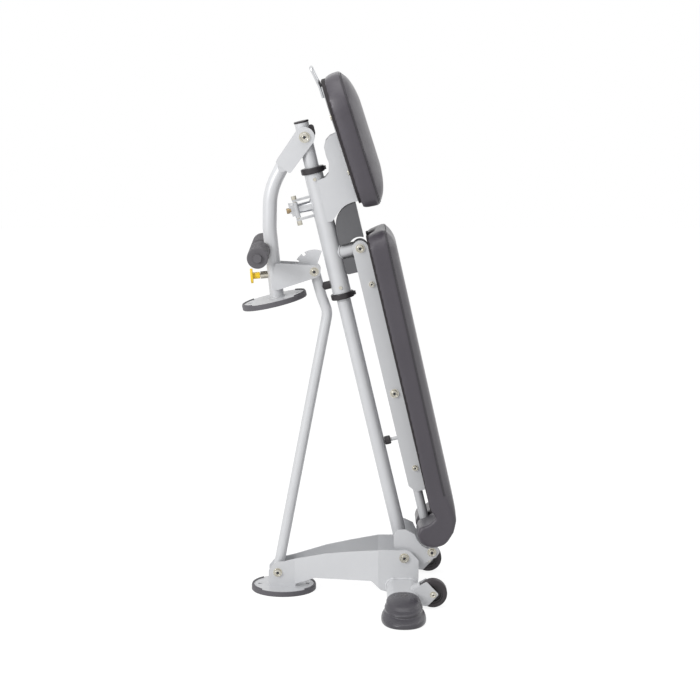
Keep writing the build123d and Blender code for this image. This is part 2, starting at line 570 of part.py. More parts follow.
build_base()
build_spine()
build_prop()
build_back()
build_carriage()
build_link()
build_leg()
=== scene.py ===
"""Folding weight bench, stood up for storage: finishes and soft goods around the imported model."""

import json
import logging
import math
from collections.abc import Iterable, Sequence
from dataclasses import dataclass, field
from enum import Enum

import bmesh
import bpy
import numpy as np
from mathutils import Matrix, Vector
from mathutils.bvhtree import BVHTree

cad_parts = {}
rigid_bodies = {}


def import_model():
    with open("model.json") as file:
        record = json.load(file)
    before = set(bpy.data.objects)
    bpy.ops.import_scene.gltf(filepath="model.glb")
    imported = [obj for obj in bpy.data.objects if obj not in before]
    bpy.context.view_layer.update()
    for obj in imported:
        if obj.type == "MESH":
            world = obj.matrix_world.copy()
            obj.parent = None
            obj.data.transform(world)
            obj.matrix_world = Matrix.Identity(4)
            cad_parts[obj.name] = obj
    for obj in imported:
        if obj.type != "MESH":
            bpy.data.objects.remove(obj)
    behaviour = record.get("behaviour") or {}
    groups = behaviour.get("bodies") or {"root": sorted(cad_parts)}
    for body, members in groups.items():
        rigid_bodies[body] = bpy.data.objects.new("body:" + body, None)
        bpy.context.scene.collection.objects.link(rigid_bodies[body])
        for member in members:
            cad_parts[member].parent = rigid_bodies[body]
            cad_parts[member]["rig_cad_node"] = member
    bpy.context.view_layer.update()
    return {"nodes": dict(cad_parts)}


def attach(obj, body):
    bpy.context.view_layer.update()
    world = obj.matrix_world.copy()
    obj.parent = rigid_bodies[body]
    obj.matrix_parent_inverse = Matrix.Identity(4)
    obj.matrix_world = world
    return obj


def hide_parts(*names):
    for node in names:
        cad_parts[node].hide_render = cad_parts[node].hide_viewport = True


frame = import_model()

MM = 0.001
MIDDLE_X = 0.00279  # from the measured outline to the middle of the object
CROSS_TUBE_X = 0.141 - MIDDLE_X
PANEL_POINTS = 240  # along the flat front of the back pad
ROLL_POINTS = 80  # along each arc of its roll
CLOTH_FRAMES = 20
LOG = logging.getLogger("bench")
Colour = tuple[int, int, int]
Point = tuple[float, float, float]
Skin = tuple[np.ndarray, list[tuple[int, ...]]]
Probe = tuple[float, float, float, float, float]


class Slot(Enum):
    """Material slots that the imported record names."""

    PAINT = "frame_paint"
    ZINC = "zinc_steel"
    RUBBER = "rubber"
    BLACK = "black_plastic"
    VINYL = "vinyl"


class Effect(Enum):
    """Shared surface effects, each a node group."""

    MOTTLE = "soft_mottle"
    PEEL = "orange_peel"
    # Outer-edge mask: worn edges together with a painted edge highlight.
    WEAR_AND_HIGHLIGHT = "edge_wear_and_highlight"
    GRAIN = "pebbled_grain"


def linear(colour: Colour) -> tuple[float, float, float, float]:
    """Turns a written 0-255 colour into the linear values that a shader takes.

    Args:
        colour: Red, green and blue from 0 to 255.

    Returns:
        Linear red, green, blue and an alpha of 1.
    """
    values = []
    for part in colour:
        c = part / 255
        values.append(c / 12.92 if c <= 0.04045 else ((c + 0.055) / 1.055) ** 2.4)
    return values[0], values[1], values[2], 1.0


# ---- node trees -----------------------------------------------------------
@dataclass
class Tree:
    """A node tree with short ways to add and join nodes."""

    tree: bpy.types.NodeTree
    column: int = 0

    def add(self, kind: str, **settings: object) -> bpy.types.Node:
        """Adds one node.

        Args:
            kind: Node type without its ShaderNode prefix.
            settings: Properties of the node to set.

        Returns:
            The new node.
        """
        node = self.tree.nodes.new("ShaderNode" + kind)
        node.location = (self.column * 190, 0)
        self.column += 1
        for name, value in settings.items():
            setattr(node, name, value)
        return node

    def join(self, source: bpy.types.NodeSocket, target: bpy.types.NodeSocket) -> None:
        """Links one socket to another."""
        self.tree.links.new(source, target)

    def maths(self, operation: str, first: object, second: object = 0.0) -> bpy.types.NodeSocket:
        """Adds a Math node.

        Args:
            operation: The Math node's operation.
            first: A socket or a number.
            second: A socket or a number.

        Returns:
            The node's output.
        """
        node = self.add("Math", operation=operation)
        for socket, value in zip(node.inputs, (first, second)):
            if isinstance(value, bpy.types.NodeSocket):
                self.join(value, socket)
            else:
                socket.default_value = value
        return node.outputs[0]

    def noise(self, place: bpy.types.NodeSocket, scale: bpy.types.NodeSocket,
              detail: float) -> bpy.types.Node:
        """Adds a noise texture.

        Args:
            place: Where it is looked up.
            scale: How fine it is.
            detail: How many finer layers it has.

        Returns:
            The node.
        """
        node = self.add("TexNoise", noise_dimensions="3D")
        node.inputs["Detail"].default_value = detail
        self.join(place, node.inputs["Vector"])
        self.join(scale, node.inputs["Scale"])
        return node

    def ramp(self, value: bpy.types.NodeSocket, low: float, high: float,
             out_low: float = 0.0, out_high: float = 1.0) -> bpy.types.NodeSocket:
        """Maps a value from one range to another, smoothly and clamped.

        Args:
            value: What is mapped.
            low: Input that gives out_low.
            high: Input that gives out_high.
            out_low: Output at low.
            out_high: Output at high.

        Returns:
            The mapped value.
        """
        node = self.add("MapRange", interpolation_type="SMOOTHSTEP")
        self.join(value, node.inputs["Value"])
        for name, number in (("From Min", low), ("From Max", high), ("To Min", out_low),
                             ("To Max", out_high)):
            node.inputs[name].default_value = number
        return node.outputs["Result"]

    def blend(self, mask: bpy.types.NodeSocket, first: object,
              second: object) -> bpy.types.NodeSocket:
        """Mixes two colours by a mask.

        Args:
            mask: From 0, all first, to 1, all second.
            first: A colour socket or linear colour.
            second: A colour socket or linear colour.

        Returns:
            The mixed colour.
        """
        node = self.add("Mix", data_type="RGBA")
        self.join(mask, node.inputs[0])
        for socket, value in ((node.inputs[6], first), (node.inputs[7], second)):
            if isinstance(value, bpy.types.NodeSocket):
                self.join(value, socket)
            else:
                socket.default_value = value
        return node.outputs[2]


@dataclass
class EffectLibrary:
    """Builds each shared effect once and hands it out."""

    made: dict[Effect, bpy.types.NodeTree] = field(default_factory=dict)

    def group(self, effect: Effect) -> bpy.types.NodeTree:
        """Gives the node group of an effect, built on first use."""
        if effect not in self.made:
            self.made[effect] = {
                Effect.MOTTLE: self.build_mottle,
                Effect.PEEL: self.build_peel,
                Effect.WEAR_AND_HIGHLIGHT: self.build_wear_and_highlight,
                Effect.GRAIN: self.build_grain,
            }[effect]()
        return self.made[effect]

    def start(self, effect: Effect, inputs: Sequence[tuple[str, float]],
              outputs: Sequence[str]) -> tuple[Tree, bpy.types.Node, bpy.types.Node]:
        """Makes an empty group with its sockets.

        Args:
            effect: Which effect it is.
            inputs: Names and first values of the number inputs.
            outputs: Names of the number outputs.

        Returns:
            The tree, its input node and its output node.
        """
        group = bpy.data.node_groups.new(effect.value, "ShaderNodeTree")
        for name, value in inputs:
            socket = group.interface.new_socket(name, in_out="INPUT", socket_type="NodeSocketFloat")
            socket.default_value = value
        for name in outputs:
            group.interface.new_socket(name, in_out="OUTPUT", socket_type="NodeSocketFloat")
        tree = Tree(group)
        return tree, group.nodes.new("NodeGroupInput"), group.nodes.new("NodeGroupOutput")

    def build_mottle(self) -> bpy.types.NodeTree:
        """Broad cloudy variation from 0 to 1, for colour and gloss that is never quite even."""
        tree, given, out = self.start(Effect.MOTTLE, [("Scale", 6.0), ("Contrast", 1.0)], ["Mask"])
        place = tree.add("TexCoord")
        noise = tree.noise(place.outputs["Object"], given.outputs["Scale"], 4.0)
        noise.inputs["Roughness"].default_value = 0.6
        centred = tree.maths("SUBTRACT", noise.outputs["Fac"], 0.5)
        spread = tree.maths("MULTIPLY", centred, given.outputs["Contrast"])
        shifted = tree.maths("ADD", spread, 0.5)
        shifted.node.use_clamp = True
        tree.join(shifted, out.inputs["Mask"])
        return tree.tree

    def build_peel(self) -> bpy.types.NodeTree:
        """Fine ripple of sprayed powder paint, with a still finer flake in it."""
        tree, given, out = self.start(Effect.PEEL, [("Scale", 260.0), ("Flake", 0.25)],
                                      ["Height", "Flake"])
        place = tree.add("TexCoord")
        ripple = tree.noise(place.outputs["Object"], given.outputs["Scale"], 1.5)
        fine = tree.add("TexVoronoi", feature="F1")
        tree.join(place.outputs["Object"], fine.inputs["Vector"])
        tree.join(tree.maths("MULTIPLY", given.outputs["Scale"], 7.0), fine.inputs["Scale"])
        speck = tree.ramp(fine.outputs["Distance"], 0.0, 0.7, 1.0, 0.0)
        flake = tree.maths("MULTIPLY", speck, given.outputs["Flake"])
        tree.join(tree.maths("ADD", ripple.outputs["Fac"], flake), out.inputs["Height"])
        tree.join(flake, out.inputs["Flake"])
        return tree.tree

    def build_wear_and_highlight(self) -> bpy.types.NodeTree:
        """Mask of outer edges, for worn edges and a painted edge highlight, found from a rounded
        normal and broken up by noise.
        """
        tree, given, out = self.start(Effect.WEAR_AND_HIGHLIGHT, [("Radius", 0.0012), ("Scale", 40.0),
                                                    ("Amount", 0.5)], ["Mask"])
        rounded = tree.add("Bevel", samples=4)
        tree.join(given.outputs["Radius"], rounded.inputs["Radius"])
        surface = tree.add("NewGeometry")
        facing = tree.add("VectorMath", operation="DOT_PRODUCT")
        tree.join(rounded.outputs["Normal"], facing.inputs[0])
        tree.join(surface.outputs["Normal"], facing.inputs[1])
        edge = tree.ramp(facing.outputs["Value"], 0.9, 0.995, 1.0, 0.0)
        place = tree.add("TexCoord")
        noise = tree.noise(place.outputs["Object"], given.outputs["Scale"], 5.0)
        broken = tree.ramp(noise.outputs["Fac"], 0.42, 0.62)
        mask = tree.maths("MULTIPLY", edge, broken)
        tree.join(tree.maths("MULTIPLY", mask, given.outputs["Amount"]), out.inputs["Mask"])
        return tree.tree

    def build_grain(self) -> bpy.types.NodeTree:
        """Pebbled skin of moulded rubber or vinyl: rounded cells with creases between them."""
        tree, given, out = self.start(Effect.GRAIN, [("Scale", 700.0), ("Warp", 0.25)],
                                      ["Height", "Crease"])
        place = tree.add("TexCoord")
        coarser = tree.maths("MULTIPLY", given.outputs["Scale"], 0.35)
        warp = tree.noise(place.outputs["Object"], coarser, 2.0)
        scaled = tree.add("VectorMath", operation="SCALE")
        tree.join(warp.outputs["Color"], scaled.inputs[0])
        tree.join(tree.maths("DIVIDE", given.outputs["Warp"], given.outputs["Scale"]),
                  scaled.inputs["Scale"])
        moved = tree.add("VectorMath", operation="ADD")
        tree.join(place.outputs["Object"], moved.inputs[0])
        tree.join(scaled.outputs[0], moved.inputs[1])
        cells = tree.add("TexVoronoi", feature="DISTANCE_TO_EDGE")
        tree.join(moved.outputs[0], cells.inputs["Vector"])
        tree.join(given.outputs["Scale"], cells.inputs["Scale"])
        height = tree.ramp(cells.outputs["Distance"], 0.0, 0.22)
        tree.join(height, out.inputs["Height"])
        tree.join(tree.ramp(cells.outputs["Distance"], 0.0, 0.09, 1.0, 0.0), out.inputs["Crease"])
        return tree.tree


EFFECTS = EffectLibrary()


@dataclass
class Shader:
    """One material with its Principled shader and the effects placed in it."""

    name: str

    def __post_init__(self) -> None:
        """Makes the empty material."""
        self.material = bpy.data.materials.new(self.name)
        self.material.use_nodes = True
        self.tree = Tree(self.material.node_tree)
        self.surface = self.material.node_tree.nodes["Principled BSDF"]

    def effect(self, effect: Effect, **values: float) -> bpy.types.Node:
        """Places a shared effect.

        Args:
            effect: Which one.
            values: Its inputs, with a capital first letter in the group.

        Returns:
            The group node.
        """
        node = self.tree.add("Group")
        node.node_tree = EFFECTS.group(effect)
        for name, value in values.items():
            node.inputs[name.capitalize()].default_value = value
        return node

    def plain(self, **values: object) -> None:
        """Sets even values on the shader's own sockets, named with underscores for spaces."""
        for name, value in values.items():
            self.surface.inputs[name.replace("_", " ")].default_value = value

    def feed(self, socket: str, source: bpy.types.NodeSocket) -> None:
        """Links a varying value to one of the shader's sockets."""
        self.tree.join(source, self.surface.inputs[socket])

    def bump(self, height: bpy.types.NodeSocket, distance: float, strength: float,
             under: bpy.types.NodeSocket | None = None) -> bpy.types.NodeSocket:
        """Adds a Bump node.

        Args:
            height: The height that shapes it.
            distance: Real depth in metres.
            strength: From 0 to 1.
            under: A normal to start from.

        Returns:
            The bumped normal.
        """
        node = self.tree.add("Bump")
        node.inputs["Distance"].default_value = distance
        node.inputs["Strength"].default_value = strength
        self.tree.join(height, node.inputs["Height"])
        if under is not None:
            self.tree.join(under, node.inputs["Normal"])
        return node.outputs["Normal"]


# ---- finishes -------------------------------------------------------------
@dataclass(frozen=True)
class PaintFinish:
    """Silver powder paint: a pale grey with a fine flake, lighter at its edges from rubbing and a
    painted edge highlight.
    """

    name: str = "silver_powder_paint"
    base: Colour = (206, 207, 209)
    shade: Colour = (196, 197, 200)
    rubbed_and_lit: Colour = (226, 226, 228)

    def make(self) -> bpy.types.Material:
        """Builds the material."""
        s = Shader(self.name)
        mottle = s.effect(Effect.MOTTLE, scale=9.0, contrast=1.2)
        peel = s.effect(Effect.PEEL, scale=420.0, flake=0.35)
        wear_and_highlight = s.effect(Effect.WEAR_AND_HIGHLIGHT, radius=0.0012, scale=60.0, amount=0.55)
        body = s.tree.blend(mottle.outputs["Mask"], linear(self.shade), linear(self.base))
        # Edges lighter: worn paint and a painted edge highlight.
        s.feed("Base Color", s.tree.blend(wear_and_highlight.outputs["Mask"], body, linear(self.rubbed_and_lit)))
        rough = s.tree.ramp(mottle.outputs["Mask"], 0.2, 0.8, 0.36, 0.46)
        s.feed("Roughness",
               s.tree.maths("SUBTRACT", rough, s.tree.maths("MULTIPLY", wear_and_highlight.outputs["Mask"], 0.1)))
        s.feed("Normal", s.bump(peel.outputs["Height"], 0.00012, 0.35))
        s.plain(Metallic=0.12, Specular_IOR_Level=0.5, Coat_Weight=0.18, Coat_Roughness=0.22)
        return s.material


@dataclass(frozen=True)
class MetalFinish:
    """Bare or plated steel with fine scratches and a broken tarnish."""

    name: str
    base: Colour
    tint: Colour
    roughness: float
    scratch: float = 0.25

    def make(self) -> bpy.types.Material:
        """Builds the material."""
        s = Shader(self.name)
        mottle = s.effect(Effect.MOTTLE, scale=45.0, contrast=1.8)
        peel = s.effect(Effect.PEEL, scale=900.0, flake=0.5)
        wear_and_highlight = s.effect(Effect.WEAR_AND_HIGHLIGHT, radius=0.0006, scale=120.0, amount=0.6)
        body = s.tree.blend(mottle.outputs["Mask"], linear(self.tint), linear(self.base))
        # Edges lighter: worn metal and a painted edge highlight.
        s.feed("Base Color", s.tree.blend(wear_and_highlight.outputs["Mask"], body, linear((236, 234, 228))))
        s.feed("Roughness", s.tree.ramp(mottle.outputs["Mask"], 0.1, 0.9, self.roughness * 1.35,
                                        self.roughness * 0.8))
        s.feed("Normal", s.bump(peel.outputs["Height"], 0.00006, self.scratch))
        s.plain(Metallic=0.9)
        return s.material


@dataclass(frozen=True)
class RubberFinish:
    """Moulded rubber or plastic with a pebbled skin, greyed where it is handled; the lighter edges
    are partly a painted edge highlight.
    """

    name: str
    base: Colour
    dust_and_highlight: Colour
    roughness: float
    grain: float = 520.0
    depth: float = 0.00015
    wear_and_highlight: float = 0.45

    def make(self) -> bpy.types.Material:
        """Builds the material."""
        s = Shader(self.name)
        mottle = s.effect(Effect.MOTTLE, scale=16.0, contrast=1.5)
        grain = s.effect(Effect.GRAIN, scale=self.grain, warp=0.6)
        wear_and_highlight = s.effect(Effect.WEAR_AND_HIGHLIGHT, radius=0.0016, scale=90.0, amount=self.wear_and_highlight)
        body = s.tree.blend(s.tree.maths("MULTIPLY", mottle.outputs["Mask"], 0.5),
                            linear(self.base), linear(self.dust_and_highlight))
        # Edges lighter: handling and a painted edge highlight.
        s.feed("Base Color", s.tree.blend(wear_and_highlight.outputs["Mask"], body, linear(self.dust_and_highlight)))
        s.feed("Roughness", s.tree.ramp(mottle.outputs["Mask"], 0.15, 0.85, self.roughness - 0.06,
                                        self.roughness + 0.08))
        s.feed("Normal", s.bump(grain.outputs["Height"], self.depth, 0.4))
        s.plain(Specular_IOR_Level=0.45)
        return s.material


@dataclass(frozen=True)
class VinylFinish:
    """Charcoal upholstery vinyl with a small leather grain and a soft sheen."""

    name: str = "charcoal_vinyl"
    base: Colour = (66, 62, 69)
    crease: Colour = (48, 44, 51)
    bloom: Colour = (76, 72, 79)

    def make(self) -> bpy.types.Material:
        """Builds the material."""
        s = Shader(self.name)
        mottle = s.effect(Effect.MOTTLE, scale=7.0, contrast=1.4)
        grain = s.effect(Effect.GRAIN, scale=620.0, warp=0.9)
        coarse = s.effect(Effect.MOTTLE, scale=150.0, contrast=1.3)
        body = s.tree.blend(mottle.outputs["Mask"], linear(self.base), linear(self.bloom))
        creased = s.tree.maths("MULTIPLY", grain.outputs["Crease"], 0.5)
        s.feed("Base Color", s.tree.blend(creased, body, linear(self.crease)))
        s.feed("Roughness", s.tree.ramp(mottle.outputs["Mask"], 0.2, 0.8, 0.29, 0.38))
        broad = s.bump(coarse.outputs["Mask"], 0.0005, 0.18)
        s.feed("Normal", s.bump(grain.outputs["Height"], 0.00016, 0.45, broad))
        s.plain(Specular_IOR_Level=0.5, Sheen_Weight=0.08, Sheen_Roughness=0.4)
        return s.material


@dataclass(frozen=True)
class BoardFinish:
    """Backing board wrapped in thin black liner cloth."""

    name: str = "board_liner"
    base: Colour = (46, 43, 45)
    lint: Colour = (70, 67, 69)

    def make(self) -> bpy.types.Material:
        """Builds the material."""
        s = Shader(self.name)
        mottle = s.effect(Effect.MOTTLE, scale=30.0, contrast=1.6)
        place = s.tree.add("TexCoord")
        waves = []
        for direction in ("X", "Z"):
            wave = s.tree.add("TexWave", wave_type="BANDS", bands_direction=direction)
            s.tree.join(place.outputs["Object"], wave.inputs["Vector"])
            wave.inputs["Scale"].default_value = 260.0
            wave.inputs["Distortion"].default_value = 1.2
            waves.append(wave.outputs["Fac"])
        weave = s.tree.maths("MULTIPLY", waves[0], waves[1])
        s.feed("Base Color", s.tree.blend(s.tree.maths("MULTIPLY", mottle.outputs["Mask"], weave),
                                          linear(self.base), linear(self.lint)))
        s.feed("Roughness", s.tree.ramp(mottle.outputs["Mask"], 0.2, 0.8, 0.72, 0.86))
        s.feed("Normal", s.bump(weave, 0.0002, 0.4))
        s.plain(Specular_IOR_Level=0.3)
        return s.material


@dataclass(frozen=True)
class ThreadFinish:
    """Twisted upholstery thread."""

    name: str = "grey_thread"
    base: Colour = (34, 31, 35)
    high: Colour = (60, 57, 62)

    def make(self) -> bpy.types.Material:
        """Builds the material."""
        s = Shader(self.name)
        place = s.tree.add("TexCoord")
        twist = s.tree.add("TexWave", wave_type="BANDS", bands_direction="DIAGONAL")
        s.tree.join(place.outputs["Object"], twist.inputs["Vector"])
        twist.inputs["Scale"].default_value = 900.0
        s.feed("Base Color",
               s.tree.blend(twist.outputs["Fac"], linear(self.base), linear(self.high)))
        s.feed("Normal", s.bump(twist.outputs["Fac"], 0.0002, 0.5))
        s.plain(Roughness=0.6)
        return s.material


@dataclass
class Finishes:
    """The finishes of the bench, each made on first use."""

    made: dict[str, bpy.types.Material] = field(default_factory=dict)

    def get(self, finish: object) -> bpy.types.Material:
        """Gives the material of a finish, built once."""
        if finish.name not in self.made:
            self.made[finish.name] = finish.make()
        return self.made[finish.name]


PAINT = PaintFinish()
ZINC = MetalFinish("zinc_plate", (214, 211, 202), (178, 172, 154), 0.22)
BRIGHT = MetalFinish("bright_steel", (214, 215, 217), (178, 179, 182), 0.2)
BRASSY = MetalFinish("passivated_steel", (176, 160, 128), (124, 98, 72), 0.3)
FOOT_RUBBER = RubberFinish("foot_rubber", (82, 80, 85), (108, 106, 110), 0.56)
BOOT_RUBBER = RubberFinish("boot_rubber", (62, 60, 66), (80, 78, 83), 0.3, 460.0, 0.0001, 0.2)
TYRE_RUBBER = RubberFinish("tyre_rubber", (44, 39, 43), (70, 65, 68), 0.5)
ROLLER_FOAM = RubberFinish("roller_rubber", (84, 82, 86), (108, 106, 109), 0.62, 340.0, 0.0002, 0.3)
BLACK = RubberFinish("black_plastic", (36, 32, 35), (62, 58, 61), 0.38, 700.0, 0.00008, 0.4)
GUARD = RubberFinish("grey_guard_plastic", (88, 88, 91), (110, 110, 112), 0.4, 600.0, 0.00006, 0.3)
# Near-black discs of painted shade on the floors of the bolt sockets.
SOCKET_SHADE = RubberFinish("painted_socket_shade", (36, 37, 44), (58, 58, 64), 0.3, 900.0, 0.00004, 0.2)
# Bright metal for rings of painted highlight on the bolt heads.
HIGHLIGHT_RIM = MetalFinish("painted_highlight_rim", (226, 224, 218), (150, 146, 134), 0.14, 0.1)
SEAM_VINYL = VinylFinish("seam_vinyl", (34, 31, 36), (26, 23, 28), (44, 41, 46))
YELLOW = RubberFinish("yellow_plastic", (246, 205, 26), (250, 222, 92), 0.34, 800.0, 0.00005, 0.25)
VINYL = VinylFinish()
BOARD = BoardFinish()
THREAD = ThreadFinish()
FINISHES = Finishes()


# ---- places ---------------------------------------------------------------
@dataclass(frozen=True)
class Place:
    """A frame in the side plane: along is square to the lean, up is along it."""

    x: float
    z: float
    lean: float

    def world(self, points: np.ndarray) -> np.ndarray:
        """Turns (along, across, up) rows into rows of the shared frame, all in metres."""
        a = math.radians(self.lean)
        n, y, u = points.T
        return np.stack([self.x + n * math.cos(a) - u * math.sin(a), y,
                         self.z + n * math.sin(a) + u * math.cos(a)], 1)

    def local(self, points: np.ndarray) -> np.ndarray:
        """Turns rows of the shared frame into (along, across, up) rows, all in metres."""
        a = math.radians(self.lean)
        x, y, z = (points - np.array([self.x, 0.0, self.z])).T
        return np.stack([x * math.cos(a) + z * math.sin(a), y, -x * math.sin(a) + z * math.cos(a)],
                        1)


SPINE = Place(0.14521, 0.110, 13.3)
SEAT_ORIGIN = SPINE.world(np.array([[0.103, 0.0, 0.962]]))[0]
SEAT = Place(float(SEAT_ORIGIN[0]), float(SEAT_ORIGIN[2]), 17.6)


# ---- mesh helpers ---------------------------------------------------------
def linked(name: str, data: bpy.types.ID) -> bpy.types.Object:
    """Makes an object from its data and links it to the scene."""
    made = bpy.data.objects.new(name, data)
    bpy.context.scene.collection.objects.link(made)
    return made


def circle(count: int) -> np.ndarray:
    """Gives that many even angles round a circle, in radians."""
    return np.linspace(0, 2 * math.pi, count, endpoint=False)


def travelled(rows: np.ndarray) -> np.ndarray:
    """Gives the distance along a line at each of its points."""
    return np.concatenate([[0], np.cumsum(np.linalg.norm(np.diff(rows, axis=0), axis=1))])


def edge_ends(mesh: bpy.types.Mesh) -> np.ndarray:
    """Gives the two vertex numbers of each edge, as rows."""
    ends = np.zeros(len(mesh.edges) * 2, dtype=np.int64)
    mesh.edges.foreach_get("vertices", ends)
    return ends.reshape(-1, 2)


def piece(name: str, points: Iterable[Sequence[float]], faces: Iterable[Sequence[int]],
          finish: object, smooth: bool = True) -> bpy.types.Object:
    """Makes a mesh object with one finish.

    Args:
        name: Its name.
        points: Vertex places in metres.
        faces: Vertex numbers of each face.
        finish: The finish it gets.
        smooth: Whether it is shaded smooth.

    Returns:
        The object, linked to the scene.
    """
    mesh = bpy.data.meshes.new(name)
    mesh.from_pydata([tuple(map(float, p)) for p in points], [], [tuple(f) for f in faces])
    mesh.update()
    work = bmesh.new()
    work.from_mesh(mesh)
    bmesh.ops.recalc_face_normals(work, faces=work.faces)
    work.to_mesh(mesh)
    work.free()
    mesh.polygons.foreach_set("use_smooth", [smooth] * len(mesh.polygons))
    made = linked(name, mesh)
    made.data.materials.append(FINISHES.get(finish))
    return made


def coordinates(mesh: bpy.types.Mesh) -> np.ndarray:
    """Gives a mesh's vertex places as an array."""
    rows = np.zeros(len(mesh.vertices) * 3)
    mesh.vertices.foreach_get("co", rows)
    return rows.reshape(-1, 3)


def place_vertices(mesh: bpy.types.Mesh, rows: np.ndarray) -> None:
    """Writes an array of places back to a mesh."""
    mesh.vertices.foreach_set("co", rows.astype(np.float32).ravel())
    mesh.update()


def tube_mesh(path: np.ndarray, radius: float | np.ndarray, closed: bool, sides: int = 10
              ) -> Skin:
    """Sweeps a round section along a path.

    Args:
        path: Rows of points in metres.
        radius: One radius, or one for each point.
        closed: Whether the path returns to its start.
        sides: Points round the section.

    Returns:
        Vertices and faces.
    """
    count = len(path)
    ahead = np.roll(path, -1, 0) - np.roll(path, 1, 0)
    if not closed:
        ahead[0], ahead[-1] = path[1] - path[0], path[-1] - path[-2]
    ahead /= np.linalg.norm(ahead, axis=1)[:, None] + 1e-12
    radii = np.full(count, radius) if np.isscalar(radius) else np.asarray(radius)
    first = np.cross(ahead[0], [0.0, 1.0, 0.0])
    if np.linalg.norm(first) < 0.2:
        first = np.cross(ahead[0], [0.0, 0.0, 1.0])
    side = first / np.linalg.norm(first)
    rings = []
    for k in range(count):
        side = side - ahead[k] * float(side @ ahead[k])
        side /= np.linalg.norm(side)
        other = np.cross(ahead[k], side)
        turn = circle(sides)
        rings.append(path[k] + radii[k] * (np.outer(np.cos(turn), side) + np.outer(np.sin(turn),
                                                                                   other)))
    faces = []
    for k in range(count if closed else count - 1):
        here, there = k * sides, ((k + 1) % count) * sides
        for j in range(sides):
            faces.append((here + j, here + (j + 1) % sides, there + (j + 1) % sides, there + j))
    if not closed:
        faces.append(tuple(range(sides)))
        faces.append(tuple(range((count - 1) * sides, count * sides)))
    return np.concatenate(rings), faces


def merged(parts: Iterable[Skin]) -> Skin:
    """Puts several vertex and face sets into one."""
    points, faces, base = [], [], 0
    for rows, loops in parts:
        points.append(rows)
        faces.extend(tuple(base + k for k in loop) for loop in loops)
        base += len(rows)
    return np.concatenate(points), faces


def loft(rings: Sequence[np.ndarray]) -> Skin:
    """Joins rings of equal count into one skin, closed at both ends.

    Args:
        rings: Rows of points for each ring.

    Returns:
        Vertices and faces.
    """
    count = len(rings[0])
    faces = []
    for k in range(len(rings) - 1):
        for j in range(count):
            a, b = k * count + j, k * count + (j + 1) % count
            faces.append((a, b, b + count, a + count))
    faces.append(tuple(range(count)))
    faces.append(tuple(range((len(rings) - 1) * count, len(rings) * count)))
    return np.concatenate(rings), faces


def baked_copy(source: bpy.types.Object, name: str) -> bpy.types.Object:
    """Copies an object as its modifiers leave it, and removes the source if it isn't a CAD node."""
    depsgraph = bpy.context.evaluated_depsgraph_get()
    mesh = bpy.data.meshes.new_from_object(source.evaluated_get(depsgraph))
    mesh.name = name
    if "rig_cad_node" not in source:
        bpy.data.objects.remove(source)
    return linked(name, mesh)


def dress(nodes: Iterable[str], finish: object) -> None:
    """Gives CAD nodes a finish in every one of their material slots."""
    material = FINISHES.get(finish)
    for name in nodes:
        part = frame["nodes"][name]
        if not part.material_slots:
            part.data.materials.append(material)
        for one in part.material_slots:
            one.material = material


def settle(obj: bpy.types.Object, body: str, slot: Slot, *nodes: str) -> bpy.types.Object:
    """Rides a piece on its body, hides the CAD nodes that it stands for, and reports it."""
    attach(obj, body)
    if nodes:
        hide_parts(*nodes)
    LOG.info("made %s on %s", obj.name, body)
    return obj


# ---- welds ----------------------------------------------------------------
@dataclass
class WeldSet:
    """Rippled fillet welds of one body, joined into one piece."""

    name: str
    body: str
    parts: list[Skin] = field(default_factory=list)

    def run(self, path: np.ndarray, radius: float) -> None:
        """Lays one bead all round.

        Args:
            path: Rows of points in the shared frame, the last the same as the first.
            radius: Mean radius of the bead.
        """
        length = float(np.linalg.norm(np.diff(path, axis=0), axis=1).sum())
        count = max(24, int(length / 0.0011))
        steps = np.linspace(0, len(path) - 1, count)
        dense = np.stack([np.interp(steps, np.arange(len(path)), path[:, k]) for k in range(3)], 1)
        at = np.arange(count)
        ripple = radius * (1 + 0.12 * np.sin(at * 1.9) + 0.06 * np.sin(at * 0.37))
        self.parts.append(tube_mesh(dense[:-1], ripple[:-1], True, 8))

    def ring(self, place: Place, centre: Point, radius: float, bead: float = 0.0022) -> None:
        """Lays a bead round a tube that runs up the frame.

        Args:
            place: The frame that centre is given in.
            centre: Its middle, in metres.
            radius: Its radius.
            bead: Radius of the bead.
        """
        turn = np.linspace(0, 2 * math.pi, 97)
        rows = np.stack([radius * np.cos(turn), radius * np.sin(turn), 0 * turn], 1)
        self.run(place.world(rows + np.array(centre)), bead)

    def saddle(self, place: Place, up: float, arm: float, post: float, way: float) -> None:
        """Lays a bead where a round arm meets a round post.

        Args:
            place: The post's frame.
            up: Height of the arm on the post.
            arm: Radius of the arm.
            post: Radius of the post.
            way: 1 if the arm points along, -1 if against.
        """
        turn = np.linspace(0, 2 * math.pi, 97)
        y, u = (arm + 0.0008) * np.sin(turn), (arm + 0.0008) * np.cos(turn)
        n = way * np.sqrt(np.maximum(post ** 2 - y ** 2, 0)) + way * 0.0008
        self.run(place.world(np.stack([n, y, up + u], 1)), 0.0021)

    def oval(self, centre: Point, half: float, tall: float, bead: float) -> None:
        """Lays a bead round a flat oval tube that runs across.

        Args:
            centre: Its middle in the shared frame.
            half: Half of its width.
            tall: Half of its height, the radius of its ends.
            bead: Radius of the bead.
        """
        rows = []
        for middle, start in ((half - tall, -90), (tall - half, 90)):
            for a in np.radians(start + np.linspace(0, 180, 30)):
                rows.append((centre[0] + middle + (tall + 0.001) * math.cos(a), centre[1],
                             centre[2] + (tall + 0.001) * math.sin(a)))
        self.run(np.array(rows + rows[:1]), bead)

    def finish(self) -> None:
        """Joins the beads and rides them on their body."""
        made = piece(self.name, *merged(self.parts), PAINT)
        settle(made, self.body, Slot.PAINT)


